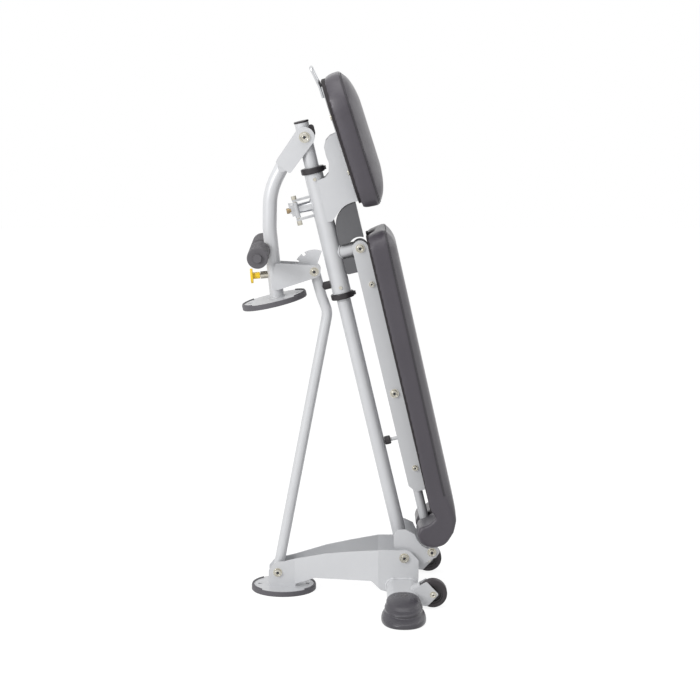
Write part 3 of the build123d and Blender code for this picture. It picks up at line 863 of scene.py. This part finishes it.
# ---- bolts ----------------------------------------------------------------
@dataclass
class BoltTrim:
    """Painted shade in the hex sockets and bright rings of painted highlight in the heads of one
    body's cross bolts.
    """

    body: str
    nodes: tuple[str, ...]
    deep: float = 0.0014
    washer: float = 1.35
    large_head: float = 0.0075
    large_key: float = 0.0044
    small_key: float = 0.003

    def islands(self, mesh: bpy.types.Mesh) -> list[np.ndarray]:
        """Splits a mesh into its loose pieces.

        Args:
            mesh: The mesh of a bolt node.

        Returns:
            Vertex places of each piece.
        """
        rows = coordinates(mesh)
        label = np.arange(len(rows))
        first, second = edge_ends(mesh).T
        for _ in range(400):
            low = np.minimum(label[first], label[second])
            before = label.copy()
            np.minimum.at(label, first, low)
            np.minimum.at(label, second, low)
            label = label[label]
            if (label == before).all():
                break
        groups = [rows[label == k] for k in np.unique(label)]
        joined: list[np.ndarray] = []
        for group in groups:
            middle = (group.min(0) + group.max(0)) / 2
            for k, other in enumerate(joined):
                centre = (other.min(0) + other.max(0)) / 2
                if np.hypot(middle[0] - centre[0],
                            middle[2] - centre[2]) < 0.004 and middle[1] * centre[1] > 0:
                    joined[k] = np.concatenate([other, group])
                    break
            else:
                joined.append(group)
        return joined

    def disc(self, centre: np.ndarray, way: float, radius: float, sides: int) -> Skin:
        """Makes a thin flat prism across a head.

        Args:
            centre: Middle of its outer face.
            way: -1 or 1, the side that the head looks to.
            radius: Its radius.
            sides: Corners round it.

        Returns:
            Vertices and faces.
        """
        turn = circle(sides) + math.pi / sides
        ring = np.stack([radius * np.cos(turn), 0 * turn, radius * np.sin(turn)], 1)
        return loft([centre + ring, centre + ring - np.array([0.0, way * 0.0006, 0.0])])

    def build(self) -> None:
        """Adds dark discs of painted shade in the sockets, and bright rings of painted highlight
        round the heads.
        """
        sockets, rings = [], []
        for name in self.nodes:
            part = frame["nodes"][name]
            for rows in self.islands(part.data):
                world = part.matrix_world
                rows = rows @ np.array(world.to_3x3()).T + np.array(world.translation)
                low, high = rows.min(0), rows.max(0)
                head = (high[0] - low[0]) / 2 / self.washer
                long = high[1] - low[1] > 0.02
                ways = (-1.0, 1.0) if long else (math.copysign(1.0, low[1] + high[1]),)
                for way in ways:
                    face = np.array([(low[0] + high[0]) / 2, high[1] if way > 0 else low[1],
                                     (low[2] + high[2]) / 2])
                    key = self.large_key if head > self.large_head else self.small_key
                    # A dark disc of painted shade at the floor of the socket.
                    sockets.append(self.disc(face - np.array([0, way * self.deep, 0]), way,
                                             key * 0.97, 6))
                    turn = circle(40)
                    # Bright rings of painted highlight at the rim of the head and round the socket.
                    for radius, thick, back in ((head * 0.93, head * 0.09, 0.0001),
                                                (key * 1.18, key * 0.12, -0.0001)):
                        path = face + np.stack([radius * np.cos(turn), 0 * turn - way * back,
                                                radius * np.sin(turn)], 1)
                        rings.append(tube_mesh(path, thick, True, 8))
        if sockets:
            settle(piece(self.body + "_sockets", *merged(sockets), SOCKET_SHADE, False), self.body,
                   Slot.BLACK)
            settle(piece(self.body + "_head_highlight_rings", *merged(rings), HIGHLIGHT_RIM), self.body, Slot.ZINC)


# ---- cushions -------------------------------------------------------------
@dataclass
class Cushion:
    """Foam pad in sewn vinyl: a side band, one seam all round, and a crowned front panel."""

    name: str
    node: str
    body: str
    place: Place
    back: float
    front: float
    half: float
    low: float
    high: float
    low_radius: float
    high_radius: float
    seam_depth: float
    crown_reach: float
    end_fillet: float
    fill: float
    voxel: float = 0.0055
    swell: float = 0.005
    tuck: float = 0.004
    pitch: float = 0.0068
    closed: bool = True
    lip: float = 0.006
    lip_passes: int = 8

    def front_at(self, up: np.ndarray) -> np.ndarray:
        """Gives how far along the flat front lies at each height."""
        return np.full_like(up, self.front)

    def to_edge(self, across: np.ndarray, up: np.ndarray) -> np.ndarray:
        """Gives the distance inside the rounded outline, seen from the front, for each point."""
        best = None
        for radius, end in ((self.low_radius, self.low), (self.high_radius, self.high)):
            x = np.abs(across) - (self.half - radius)
            z = (end + radius - up) if end == self.low else (up - (end - radius))
            outside = np.hypot(np.maximum(x, 0), np.maximum(z, 0))
            inside = np.minimum(np.maximum(x, z), 0)
            distance = radius - (outside + inside)
            best = distance if best is None else np.minimum(best, distance)
        return best

    def depths(self, rows: np.ndarray) -> tuple[np.ndarray, np.ndarray, np.ndarray, np.ndarray]:
        """Measures how far each point lies behind the front skin.

        Args:
            rows: Local places.

        Returns:
            The depth, the way inwards (along, up), the crown's reach and the seam's depth there.
        """
        depth = self.front_at(rows[:, 2]) - rows[:, 0]
        inward = np.tile(np.array([-1.0, 0.0]), (len(rows), 1))
        return depth, inward, np.full(len(rows), self.crown_reach), np.full(len(rows),
                                                                            self.seam_depth)

    def lip_at(self, up: np.ndarray) -> np.ndarray:
        """Gives how far the vinyl wraps back over the edge of the board."""
        return np.full(len(up), self.lip)

    def wrap(self, along: np.ndarray, edge: np.ndarray, up: np.ndarray) -> np.ndarray:
        """Works out how far the rim of the side band is drawn back over the board's edge.

        Args:
            along: Distance along the pad's normal.
            edge: Distance inside the untucked outline.
            up: Distance up the pad.

        Returns:
            How far each place moves back.
        """
        rim = np.clip((0.0095 - edge) / 0.0035, 0, 1) * np.clip((self.back + 0.022 - along) / 0.022,
                                                                0, 1)
        return self.lip_at(up) * rim

    def end_distance(self, up: np.ndarray) -> np.ndarray:
        """Gives the distance to the nearer filleted end."""
        return np.minimum(np.abs(up - self.low), np.abs(self.high - up))

    def drawn_in(self, across: np.ndarray, up: np.ndarray, pull: np.ndarray) -> tuple[np.ndarray,
                                                                                      np.ndarray]:
        """Moves points towards the pad's middle line by the given distances."""
        middle = np.clip(up, self.low + self.half, self.high - self.half)
        out = np.stack([across, up - middle], 1)
        out /= np.linalg.norm(out, axis=1)[:, None] + 1e-9
        moved = np.stack([across, up], 1) - out * pull[:, None]
        return moved[:, 0], moved[:, 1]

    def crown(self, rows: np.ndarray) -> np.ndarray:
        """Rounds the front panel down to the seam and tucks the side band in at the board.

        Args:
            rows: Local places of the remeshed pad.

        Returns:
            The shaped local places.
        """
        n, y, u = rows.T.copy()
        depth, inward, reach, seam = self.depths(rows)
        edge = np.clip(self.to_edge(y, u), 0, None)
        r = self.end_fillet
        drop = r - np.sqrt(np.maximum(r ** 2 - np.maximum(r - self.end_distance(u), 0) ** 2, 0))
        had = np.maximum(seam - drop, 0.0015)
        want = seam * (1 - np.clip(1 - edge / reach, 0, 1) ** 2)
        keep = np.clip(want / had, 0, 1)
        sunk = np.where(depth < seam, (seam - depth) * (1 - keep), 0.0)
        n, u = n + inward[:, 0] * sunk, u + inward[:, 1] * sunk
        share = np.clip((n - self.back) / (self.front - self.seam_depth - self.back), 0, 1)
        pull = self.tuck * (1 - share) ** 1.4 * np.exp(-edge / 0.03)
        y, u = self.drawn_in(y, u, pull)
        return np.stack([n, y, u], 1)

    def evened(self, mesh: bpy.types.Mesh, field_rows: np.ndarray, times: int) -> np.ndarray:
        """Averages a vector field over neighbouring vertices.

        Args:
            mesh: The mesh it belongs to.
            field_rows: One row for each vertex.
            times: How often it is averaged.

        Returns:
            The smoother field.
        """
        ends = edge_ends(mesh)
        first, second = ends.T
        degree = np.bincount(ends.ravel(), minlength=len(field_rows)).astype(float)[:, None]
        for _ in range(times):
            total = np.zeros_like(field_rows)
            np.add.at(total, first, field_rows[second])
            np.add.at(total, second, field_rows[first])
            field_rows = 0.4 * field_rows + 0.6 * total / np.maximum(degree, 1)
        return field_rows

    def inflate(self, obj: bpy.types.Object) -> None:
        """Swells the skin with a short cloth simulation, held where it is stapled to the board.

        Args:
            obj: The pad, changed in place.
        """
        rest = coordinates(obj.data)
        local = self.place.local(rest)
        held = np.nonzero(local[:, 0] < self.back + 0.006)[0]
        group = obj.vertex_groups.new(name="stapled")
        group.add([int(k) for k in held], 1.0, "REPLACE")
        cloth = obj.modifiers.new("skin", "CLOTH")
        cloth.settings.quality = 4
        cloth.settings.mass = 0.25
        cloth.settings.tension_stiffness = 22
        cloth.settings.compression_stiffness = 22
        cloth.settings.bending_stiffness = 2.0
        cloth.settings.use_pressure = True
        cloth.settings.uniform_pressure_force = 4.0
        cloth.settings.vertex_group_mass = group.name
        cloth.settings.effector_weights.gravity = 0.0
        cloth.collision_settings.use_collision = False
        cloth.point_cache.frame_start = 1
        cloth.point_cache.frame_end = CLOTH_FRAMES
        scene = bpy.context.scene
        for number in range(1, CLOTH_FRAMES + 1):
            scene.frame_set(number)
        depsgraph = bpy.context.evaluated_depsgraph_get()
        swollen = coordinates(obj.evaluated_get(depsgraph).data)
        obj.modifiers.remove(cloth)
        scene.frame_set(1)
        moved = swollen - rest
        far = np.linalg.norm(moved, axis=1)
        scale = np.minimum(1, self.swell / np.maximum(far, 1e-9))
        place_vertices(obj.data, rest + self.evened(obj.data, moved * scale[:, None], 14))

    def seam_line(self, surface: BVHTree, depth: float) -> np.ndarray:
        """Finds where a line at one depth behind the front runs round the skin.

        Args:
            surface: The finished skin.
            depth: How far behind the front it runs.

        Returns:
            Rows of points in the shared frame.
        """
        rows = []
        for n, y, u, ny, nu in self.probes(depth):
            start, inside = self.place.world(np.array([[n, y + ny * 0.05, u + nu * 0.05],
                                                       [n, y - ny * 0.02, u - nu * 0.02]]))
            way = Vector(inside - start).normalized()
            hit = surface.ray_cast(Vector(start), way)
            if hit[0] is not None:
                rows.append(np.array(hit[0]))
        return np.array(rows)

    def probes(self, depth: float) -> list[Probe]:
        """Gives the points and outward ways from which a seam at one depth is looked for."""
        return [(float(self.front_at(np.array([u]))[0]) - depth, y, u, ny, nu) for y, u, ny,
                nu in self.outline(420)]

    def outline(self, count: int) -> list[tuple[float, float, float, float]]:
        """Walks the rounded outline.

        Args:
            count: How many points to give.

        Returns:
            Across, up and the outward direction of each point.
        """
        corners = ((1, 1, self.high_radius, 0.0), (-1, 1, self.high_radius, 90.0),
                   (-1, -1, self.low_radius, 180.0), (1, -1, self.low_radius, 270.0))
        dense = []
        for sy, su, radius, start in corners:
            cy = sy * (self.half - radius)
            cu = (self.high - radius) if su > 0 else (self.low + radius)
            for a in np.radians(start + np.linspace(0, 90, 25)):
                dense.append((cy + radius * math.cos(a), cu + radius * math.sin(a), math.cos(a),
                              math.sin(a)))
        rows = np.array(dense + dense[:1])
        run = travelled(rows[:, :2])
        at = np.linspace(0, run[-1], count, endpoint=False)
        return [tuple(float(np.interp(a, run, rows[:, k])) for k in range(4)) for a in at]

    def stitches(self, line: np.ndarray, closed: bool) -> list[Skin]:
        """Lays short thread stitches along a line.

        Args:
            line: Rows of points on the skin.
            closed: Whether the line returns to its start.

        Returns:
            Vertices and faces of each stitch.
        """
        rows = np.concatenate([line, line[:1]]) if closed else line
        run = travelled(rows)
        parts = []
        for start in np.arange(0, run[-1] - self.pitch, self.pitch):
            at = start + self.pitch * np.array([0.12, 0.3, 0.5, 0.7, 0.76])
            path = np.stack([np.interp(at, run, rows[:, k]) for k in range(3)], 1)
            if np.linalg.norm(path[-1] - path[0]) > 0.001:
                parts.append(tube_mesh(path, np.array([0.5, 1.1, 1.25, 1.1, 0.5]) * 0.001, False,
                                       6))
        return parts

    def sew(self, obj: bpy.types.Object) -> None:
        """Adds the seam welt and the row of stitching beside it.

        Args:
            obj: The finished pad.
        """
        surface = BVHTree.FromPolygons([v.co for v in obj.data.vertices],
                                       [tuple(p.vertices) for p in obj.data.polygons])
        seam = self.seam_line(surface, self.seam_depth)
        welt = piece(self.name + "_seam", *tube_mesh(seam, 0.0012, self.closed, 8), SEAM_VINYL)
        settle(welt, self.body, Slot.VINYL)
        row = self.seam_line(surface, self.seam_depth - 0.0032)
        thread = piece(self.name + "_stitching", *merged(self.stitches(row, self.closed)), THREAD)
        settle(thread, self.body, Slot.VINYL)

    def groove(self, rows: np.ndarray) -> np.ndarray:
        """Draws the skin in along the seam.

        Args:
            rows: Local places.

        Returns:
            The places with the groove.
        """
        n, y, u = rows.T
        depth = self.depths(rows)[0]
        near = np.exp(-np.clip(self.to_edge(y, u), 0, None) / 0.012) * self.seamed(u)
        from_seam = depth - self.seam_depth
        pull = 0.0024 * np.exp(-(from_seam / 0.0032) ** 2)
        pucker = 0.0005 * np.sin((u + np.abs(y)) * 2 * math.pi / 0.017)
        pull += pucker * np.exp(-np.abs(from_seam) / 0.007)
        y, u = self.drawn_in(y, u, pull * near)
        return np.stack([n, y, u], 1)

    def seamed(self, up: np.ndarray) -> np.ndarray:
        """Gives how much of a groove the seam has there, from 0 to 1."""
        return np.ones(len(up))

    def build(self) -> bpy.types.Object:
        """Makes the pad from its CAD solid: remesh, crown, swell, smooth and sew.

        Returns:
            The finished pad.
        """
        start = baked_copy(frame["nodes"][self.node], self.name + "_blank")
        start.data.materials.clear()
        remesh = start.modifiers.new("even", "REMESH")
        remesh.mode = "VOXEL"
        remesh.voxel_size = self.voxel
        pad = baked_copy(start, self.name + "_shaped")
        blank = self.place.local(coordinates(pad.data))
        back = np.zeros_like(blank)
        back[:, 0] = -self.wrap(blank[:, 0], self.to_edge(blank[:, 1], blank[:, 2]), blank[:, 2])
        shaped = self.crown(blank) + self.evened(pad.data, back, self.lip_passes)
        place_vertices(pad.data, self.place.world(shaped))
        relax = pad.modifiers.new("relax", "SMOOTH")
        relax.iterations = 4
        pad = baked_copy(pad, self.name + "_relaxed")
        self.inflate(pad)
        fine = pad.modifiers.new("fine", "SUBSURF")
        fine.levels = 1
        pad = baked_copy(pad, self.name)
        place_vertices(pad.data,
                       self.place.world(self.groove(self.place.local(coordinates(pad.data)))))
        pad.data.polygons.foreach_set("use_smooth", [True] * len(pad.data.polygons))
        pad.data.materials.clear()
        pad.data.materials.append(FINISHES.get(VINYL))
        settle(pad, self.body, Slot.VINYL, self.node)
        self.sew(pad)
        return pad


@dataclass
class RolledCushion(Cushion):
    """Back pad, whose lower end turns under in a thick roll."""

    taper: float = 0.008
    front_roll: Point = (0.119, 0.092, 0.042)
    back_roll: Point = (0.091, 0.063, 0.047)
    roll_reach: float = 0.010
    roll_seam: float = 0.006
    neck: float = 0.009
    slant: float = 0.012
    panel_low: float = 0.096
    seam_low: float = 0.15
    bulges: tuple[tuple[float, float], ...] = (
        (0.0, 0.0), (0.022, 0.006), (0.047, 0.0115), (0.075, 0.006), (0.105, 0.0), (0.14, -0.002),
                                               (0.187, -0.005),
        (0.24, -0.008))
    closed: bool = False
    lip: float = 0.0095

    def profile(self) -> tuple[np.ndarray, np.ndarray]:
        """Walks the side outline that shows: down the front, round the roll and up behind it.

        Returns:
            Points and the ways inwards, both as (along, up) rows.
        """
        (x2, z2, r2), (x1, z1, r1) = self.front_roll, self.back_roll
        between = math.atan2(z1 - z2, x1 - x2)
        turn = between + math.acos((r2 - r1) / math.hypot(x1 - x2, z1 - z2))
        turn -= 2 * math.pi if turn > 0 else 0.0
        run = np.linspace(0, 1, PANEL_POINTS)[:, None]
        way = np.array([math.cos(turn), math.sin(turn)])
        start, end = np.array([x2, z2]) + r2 * way, np.array([x1, z1]) + r1 * way
        rows = [np.array([self.front, self.high]) * (1 - run) + np.array([x2 + r2, z2]) * run]
        inward = [np.tile(np.array([-1.0, 0.0]), (PANEL_POINTS, 1))]
        for centre, radius, first, last in (((x2, z2), r2, 0.0, turn), (None, 0.0, turn, turn),
                                            ((x1, z1), r1, turn, turn - math.radians(195))):
            a = np.linspace(first, last, ROLL_POINTS)
            ways = np.stack([np.cos(a), np.sin(a)], 1)
            line = start + (end - start) * np.linspace(0, 1, ROLL_POINTS)[:, None]
            rows.append(line if centre is None else np.array(centre) + radius * ways)
            inward.append(-ways)
        return np.concatenate(rows), np.concatenate(inward)

    def nearest(self, rows: np.ndarray) -> np.ndarray:
        """Finds the outline point nearest to each place.

        Args:
            rows: Local places.

        Returns:
            One index into the profile for each.
        """
        points, _ = self.profile()
        flat = rows[:, [0, 2]]
        found = np.zeros(len(flat), dtype=np.int64)
        for start in range(0, len(flat), 4000):
            part = flat[start:start + 4000]
            found[start:start + 4000] = ((part[:, None, :] - points[None, :,
                                                                    :]) ** 2).sum(2).argmin(1)
        return found

    def depths(self, rows: np.ndarray) -> tuple[np.ndarray, np.ndarray, np.ndarray, np.ndarray]:
        """Measures the depth behind the nearest point of the side outline.

        Args:
            rows: Local places.

        Returns:
            The depth, the way inwards (along, up), the crown's reach and the seam's depth there.
        """
        points, inward = self.profile()
        index = self.nearest(rows)
        way = inward[index]
        depth = ((rows[:, [0, 2]] - points[index]) * way).sum(1)
        turned = np.clip((0.2 - points[index][:, 1]) / 0.12, 0, 1)
        turned = turned * turned * (3 - 2 * turned)
        reach = self.crown_reach + (self.roll_reach - self.crown_reach) * turned
        return depth, way, reach, self.seam_depth + (self.roll_seam - self.seam_depth) * turned

    def crown(self, rows: np.ndarray) -> np.ndarray:
        """Shapes the panel, then rounds out the roll and draws in its neck.

        Args:
            rows: Local places of the remeshed pad.

        Returns:
            The shaped local places.
        """
        points, inward = self.profile()
        index = self.nearest(rows)
        run = travelled(points)
        swell = np.interp(run - run[PANEL_POINTS], *zip(*self.bulges))[index]
        depth = ((rows[:, [0, 2]] - points[index]) * inward[index]).sum(1)
        share = np.clip(1 - depth / 0.07, 0, 1) * swell
        shaped = super().crown(rows)
        shaped[:, 0] -= inward[index, 0] * share
        shaped[:, 2] -= inward[index, 1] * share
        shelf = np.clip((0.106 - rows[:, 0]) / 0.03, 0, 1) * np.clip((rows[:, 2] - 0.05) / 0.04, 0,
                                                                     1)
        shelf *= np.clip((0.112 - rows[:, 2]) / 0.012, 0, 1)
        shaped[:, 2] -= self.neck * shelf * shelf * (3 - 2 * shelf)
        behind = np.clip((self.front - 0.012 - shaped[:, 0]) / 0.05, 0, 1)
        shaped[:, 2] -= self.slant * behind * np.clip(1 - (self.high - rows[:, 2]) / 0.05, 0, 1)
        return shaped

    def lip_at(self, up: np.ndarray) -> np.ndarray:
        """Gives the lip over the board: broad above the roll, none on the roll itself."""
        return np.interp(up, [0.098, 0.122, 0.2, 0.34], [0.0, 0.02, 0.016, self.lip])

    def seamed(self, up: np.ndarray) -> np.ndarray:
        """Lets the seam's groove fade out above the roll."""
        return np.clip((up - 0.13) / 0.05, 0, 1)

    def end_distance(self, up: np.ndarray) -> np.ndarray:
        """Gives the distance to the top end, the only filleted one."""
        return np.abs(self.high - up)

    def front_at(self, up: np.ndarray) -> np.ndarray:
        """Gives the front of the leaning panel."""
        run = np.clip((up - self.panel_low) / (self.high - self.panel_low), 0, 1)
        return self.front - self.taper * (1 - run)

    def probes(self, depth: float) -> list[Probe]:
        """Runs the seam up one side from the roll, over the top end and down the other side."""
        points, inward = self.profile()
        line = points + inward * depth
        top = self.high - self.high_radius
        side = [(float(n), float(u)) for n,
                u in line[:PANEL_POINTS][::-1] if self.seam_low <= u <= top]
        over = [(y, u, ny, nu) for y, u, ny, nu in self.outline(520) if u > top]
        over.sort(key=lambda row: row[0] + 0.001 * row[2])
        near = [(n, -self.half, u, -1.0, 0.0) for n, u in side]
        arch = [(float(self.front_at(np.array([u]))[0]) - depth, y, u, ny, nu) for y, u, ny,
                nu in over]
        far = [(n, self.half, u, 1.0, 0.0) for n, u in side[::-1]]
        return near + arch + far


# ---- sub-assemblies -------------------------------------------------------
@dataclass
class BootPair:
    """Soft rubber boots on the ends of the cross tube, wider at the floor than at the top."""

    middle: float = CROSS_TUBE_X
    levels: tuple[tuple[float, float, float, float], ...] = (
        (0.0, 55.0, 228.0, 394.0), (2.0, 58.8, 222.5, 399.4), (8.0, 59.4, 221.2, 400.4),
                                                             (14.0, 58.8, 221.2, 399.0),
        (20.0, 55.6, 222.0, 389.0), (24.5, 50.6, 223.0, 375.0), (27.0, 49.4, 223.5, 370.5),
                                                             (33.0, 51.0, 223.0, 373.5),
        (38.0, 47.4, 224.0, 360.0), (40.5, 45.4, 224.5, 351.5), (46.0, 46.0, 224.5, 348.0),
                                                             (52.0, 42.0, 226.0, 329.0),
        (56.0, 34.0, 230.0, 306.0), (57.4, 22.0, 238.0, 286.0))

    def ring(self, level: tuple[float, float, float, float], way: int,
             count: int = 56) -> np.ndarray:
        """Gives one outline of a boot.

        Args:
            level: Height, half width, inner end and outer end, in mm.
            way: -1 for the near boot, 1 for the far one.
            count: Points round it.

        Returns:
            Rows of points.
        """
        height, half, inner, outer = (MM * v for v in level)
        turn = circle(count)
        c, s = np.cos(turn), np.sin(turn)
        power = 2 / 2.25
        x = self.middle + half * np.sign(c) * np.abs(c) ** power
        y = (inner + outer) / 2 + (outer - inner) / 2 * np.sign(s) * np.abs(s) ** power
        # Soft folds sag a little towards the outer end.
        sag = 0.0075 * (np.abs(c) ** 2.2 - 0.45) * np.clip((y - inner) / (outer - inner), 0, 1)
        eased = max(0.0, min((height - 0.013) / 0.01, (0.056 - height) / 0.012, 1.0))
        lifted = height + sag * eased
        return np.stack([x, way * y, lifted], 1)

    def build(self) -> None:
        """Makes both boots and stands them for the CAD ones."""
        parts = [loft([self.ring(level, way) for level in self.levels]) for way in (-1, 1)]
        boots = piece("boots", *merged(parts), BOOT_RUBBER)
        soft = boots.modifiers.new("soft", "SUBSURF")
        soft.levels = soft.render_levels = 2
        settle(boots, "base", Slot.RUBBER, "base_boots")


@dataclass
class BaseUnit:
    """Folded base: two bent side plates, cross tube, round front foot, wheels and boots."""

    painted: tuple[str, ...] = ("base_side_near", "base_side_far", "base_cross_tube",
                                "base_foot_plate", "wheel_forks")
    bolts: tuple[str, ...] = ("spine_pivot_bolt", "toe_pivot_bolt", "wheel_axles")
    tube_x: float = CROSS_TUBE_X
    tube_z: float = 0.031
    tube_w: float = 0.084
    tube_h: float = 0.040
    plate_y: float = 0.0885

    def build(self) -> None:
        """Dresses the CAD parts and adds the welds and boots."""
        dress(self.painted, PAINT)
        dress(self.bolts, ZINC)
        dress(("base_foot_rubber",), FOOT_RUBBER)
        dress(("wheel_tyre_near", "wheel_tyre_far"), TYRE_RUBBER)
        dress(("wheel_hub_near", "wheel_hub_far"), BLACK)
        BoltTrim("base", self.bolts).build()
        welds = WeldSet("base_welds", "base")
        for way in (-1, 1):
            welds.oval((self.tube_x, way * self.plate_y, self.tube_z), self.tube_w / 2,
                       self.tube_h / 2, 0.0034)
        welds.finish()
        BootPair().build()


@dataclass
class SpineUnit:
    """Upright post with its foot bracket, end cap and stop."""

    def build(self) -> None:
        """Dresses the CAD parts and trims the bolt."""
        dress(("spine_tube", "spine_foot_bracket"), PAINT)
        dress(("spine_end_cap", "spine_stop_button"), BLACK)
        dress(("prop_low_bolt",), ZINC)
        BoltTrim("spine", ("prop_low_bolt",)).build()


@dataclass
class BackUnit:
    """Prop tube and back rest: channel, board and rolled pad."""

    def build(self) -> None:
        """Dresses the CAD parts and makes the pad."""
        dress(("prop_tube", "back_channel"), PAINT)
        dress(("prop_bumper",), BLACK)
        bolts = ("prop_top_bolt", "back_channel_bolts", "back_hinge_bolt")
        dress(bolts, ZINC)
        BoltTrim("backrest", bolts).build()
        dress(("back_board",), BOARD)
        RolledCushion(
            name="back_cushion", node="back_pad", body="backrest", place=SPINE, back=0.109,
                      front=0.169, half=0.130,
            low=-0.300, high=0.893, low_radius=0.010, high_radius=0.055, seam_depth=0.018,
                      crown_reach=0.060,
            end_fillet=0.026, fill=0.85).build()


@dataclass
class CarriageUnit:
    """Sliding sleeve with the seat, its bracket, handle loop and squeeze latch."""

    sleeve: float = 0.0254
    arm: float = 0.019
    latch: float = 0.014
    hinge_up: float = 0.8466
    latch_up: float = 0.986

    def build(self) -> None:
        """Dresses the CAD parts, makes the seat pad and adds the welds."""
        dress(("slide_sleeve", "hinge_arm", "seat_cheeks"), PAINT)
        dress(("slide_collars",), BLACK)
        dress(("slide_screws", "seat_bolts", "latch_pivot_bolt"), ZINC)
        dress(("hinge_guard",), GUARD)
        dress(("seat_board",), BOARD)
        dress(("seat_bars", "seat_handle", "latch_barrel", "latch_lever"), BRIGHT)
        dress(("latch_pin",), BRASSY)
        Cushion(
            name="seat_cushion", node="seat_pad", body="carriage", place=SEAT, back=0.010,
                front=0.078, half=0.140,
            low=-0.014, high=0.357, low_radius=0.060, high_radius=0.100, seam_depth=0.026,
                crown_reach=0.105,
            end_fillet=0.022, fill=0.9, tuck=0.007).build()
        welds = WeldSet("carriage_welds", "carriage")
        welds.saddle(SPINE, self.hinge_up, self.arm, self.sleeve, 1)
        welds.saddle(SPINE, self.latch_up, self.latch, self.sleeve, -1)
        welds.finish()


@dataclass
class LegUnit:
    """Folding leg with its knee link, lock sector, foot rollers and round foot."""

    def build(self) -> None:
        """Dresses the CAD parts and adds the weld at the foot."""
        dress(("link_tube", "lock_sector", "leg_tube", "leg_head_cheeks", "leg_arms",
               "leg_foot_plate"), PAINT)
        dress(("leg_head_bolts", "knee_bolt", "roller_bar", "plunger_pin", "plunger_barrel"), ZINC)
        dress(("link_bumper",), BLACK)
        dress(("roller_bar_caps", "foot_roller_near", "foot_roller_far"), ROLLER_FOAM)
        dress(("leg_foot_rubber",), FOOT_RUBBER)
        dress(("plunger_knob",), YELLOW)
        BoltTrim("leg", ("leg_head_bolts", "knee_bolt")).build()
        welds = WeldSet("leg_welds", "leg")
        welds.ring(SPINE, (-0.1738, 0.0, 0.7668), 0.0198)
        welds.finish()


# ---- studio ---------------------------------------------------------------
@dataclass
class Studio:
    """Camera, white sweep of floor and soft lamps."""

    eye: Point = (-MIDDLE_X, -5.71247, 1.63597)
    pitch: float = 9.6
    lens: float = 109.54
    world_level: float = 0.6

    def camera(self) -> None:
        """Places the camera and makes it the scene's."""
        data = bpy.data.cameras.new("camera")
        data.lens, data.sensor_width = self.lens, 36.0
        data.clip_start, data.clip_end = 0.05, 60.0
        made = linked("camera", data)
        made.location = self.eye
        made.rotation_euler = (math.radians(90 - self.pitch), 0.0, 0.0)
        bpy.context.scene.camera = made

    def seen(self, tree: Tree) -> bpy.types.NodeSocket:
        """Gives 1 for rays that should find plain white: camera, gloss and glass."""
        path = tree.add("LightPath")
        direct = tree.maths("MAXIMUM", path.outputs["Is Camera Ray"], path.outputs["Is Glossy Ray"])
        return tree.maths("MAXIMUM", direct, path.outputs["Is Transmission Ray"])

    def surround(self) -> None:
        """Builds the world: a plain soft light that looks white."""
        world = bpy.data.worlds.new("studio")
        world.use_nodes = True
        bpy.context.scene.world = world
        tree = Tree(world.node_tree)
        background = world.node_tree.nodes["Background"]
        background.inputs["Color"].default_value = (1.0, 1.0, 1.0, 1.0)
        mask = self.seen(tree)
        span = tree.maths("MULTIPLY", mask, 1.0 - self.world_level)
        tree.join(tree.maths("ADD", span, self.world_level), background.inputs["Strength"])

    def floor(self) -> None:
        """Lays the floor, which reads white and keeps a light shadow."""
        mesh = bpy.data.meshes.new("floor")
        reach = 9.0
        mesh.from_pydata([(-reach, -reach, 0), (reach, -reach, 0), (reach, reach, 0),
                          (-reach, reach, 0)], [],
                         [(0, 1, 2, 3)])
        made = linked("floor", mesh)
        material = bpy.data.materials.new("white_floor")
        material.use_nodes = True
        tree = Tree(material.node_tree)
        nodes = material.node_tree.nodes
        nodes.remove(nodes["Principled BSDF"])
        plain = tree.add("BsdfDiffuse")
        plain.inputs["Color"].default_value = (0.8, 0.8, 0.8, 1)
        shadow = tree.add("BsdfDiffuse")
        shadow.inputs["Color"].default_value = (0.22, 0.22, 0.22, 1)
        glow = tree.add("Emission")
        glow.inputs["Strength"].default_value = 0.88
        both = tree.add("AddShader")
        tree.join(shadow.outputs[0], both.inputs[0])
        tree.join(glow.outputs[0], both.inputs[1])
        pick = tree.add("MixShader")
        tree.join(self.seen(tree), pick.inputs[0])
        tree.join(plain.outputs[0], pick.inputs[1])
        tree.join(both.outputs[0], pick.inputs[2])
        tree.join(pick.outputs[0], nodes["Material Output"].inputs["Surface"])
        mesh.materials.append(material)

    def lamp(self, name: str, place: Point, aim: Point, size: float, power: float) -> None:
        """Adds one soft square lamp.

        Args:
            name: Its name.
            place: Where it stands.
            aim: What it points at.
            size: Its side in metres.
            power: Its power in watts.
        """
        data = bpy.data.lights.new(name, "AREA")
        data.shape, data.size, data.energy = "SQUARE", size, power
        made = linked(name, data)
        made.location = place
        made.rotation_euler = (Vector(aim) - Vector(place)).to_track_quat("-Z", "Y").to_euler()

    def lamps(self) -> None:
        """Adds the lamps: a key from the left front, a rim light and a top light."""
        self.lamp("key", (-3.0, -3.2, 2.4), (0.0, 0.0, 0.7), 1.6, 112.0)
        self.lamp("rim", (2.6, 1.2, 2.0), (0.1, 0.0, 0.8), 1.4, 9.0)
        self.lamp("top", (-0.2, -0.6, 3.4), (0.0, 0.0, 0.6), 2.0, 26.0)


def main() -> None:
    """Builds the scene in order."""
    logging.basicConfig(level=logging.INFO, format="%(name)s: %(message)s")
    bpy.context.scene.view_settings.view_transform = "Standard"
    studio = Studio()
    studio.camera()
    studio.surround()
    studio.floor()
    studio.lamps()
    for unit in (BaseUnit(), SpineUnit(), BackUnit(), CarriageUnit(), LegUnit()):
        unit.build()
        LOG.info("finished %s", type(unit).__name__)


if __name__ == "__main__":
    main()
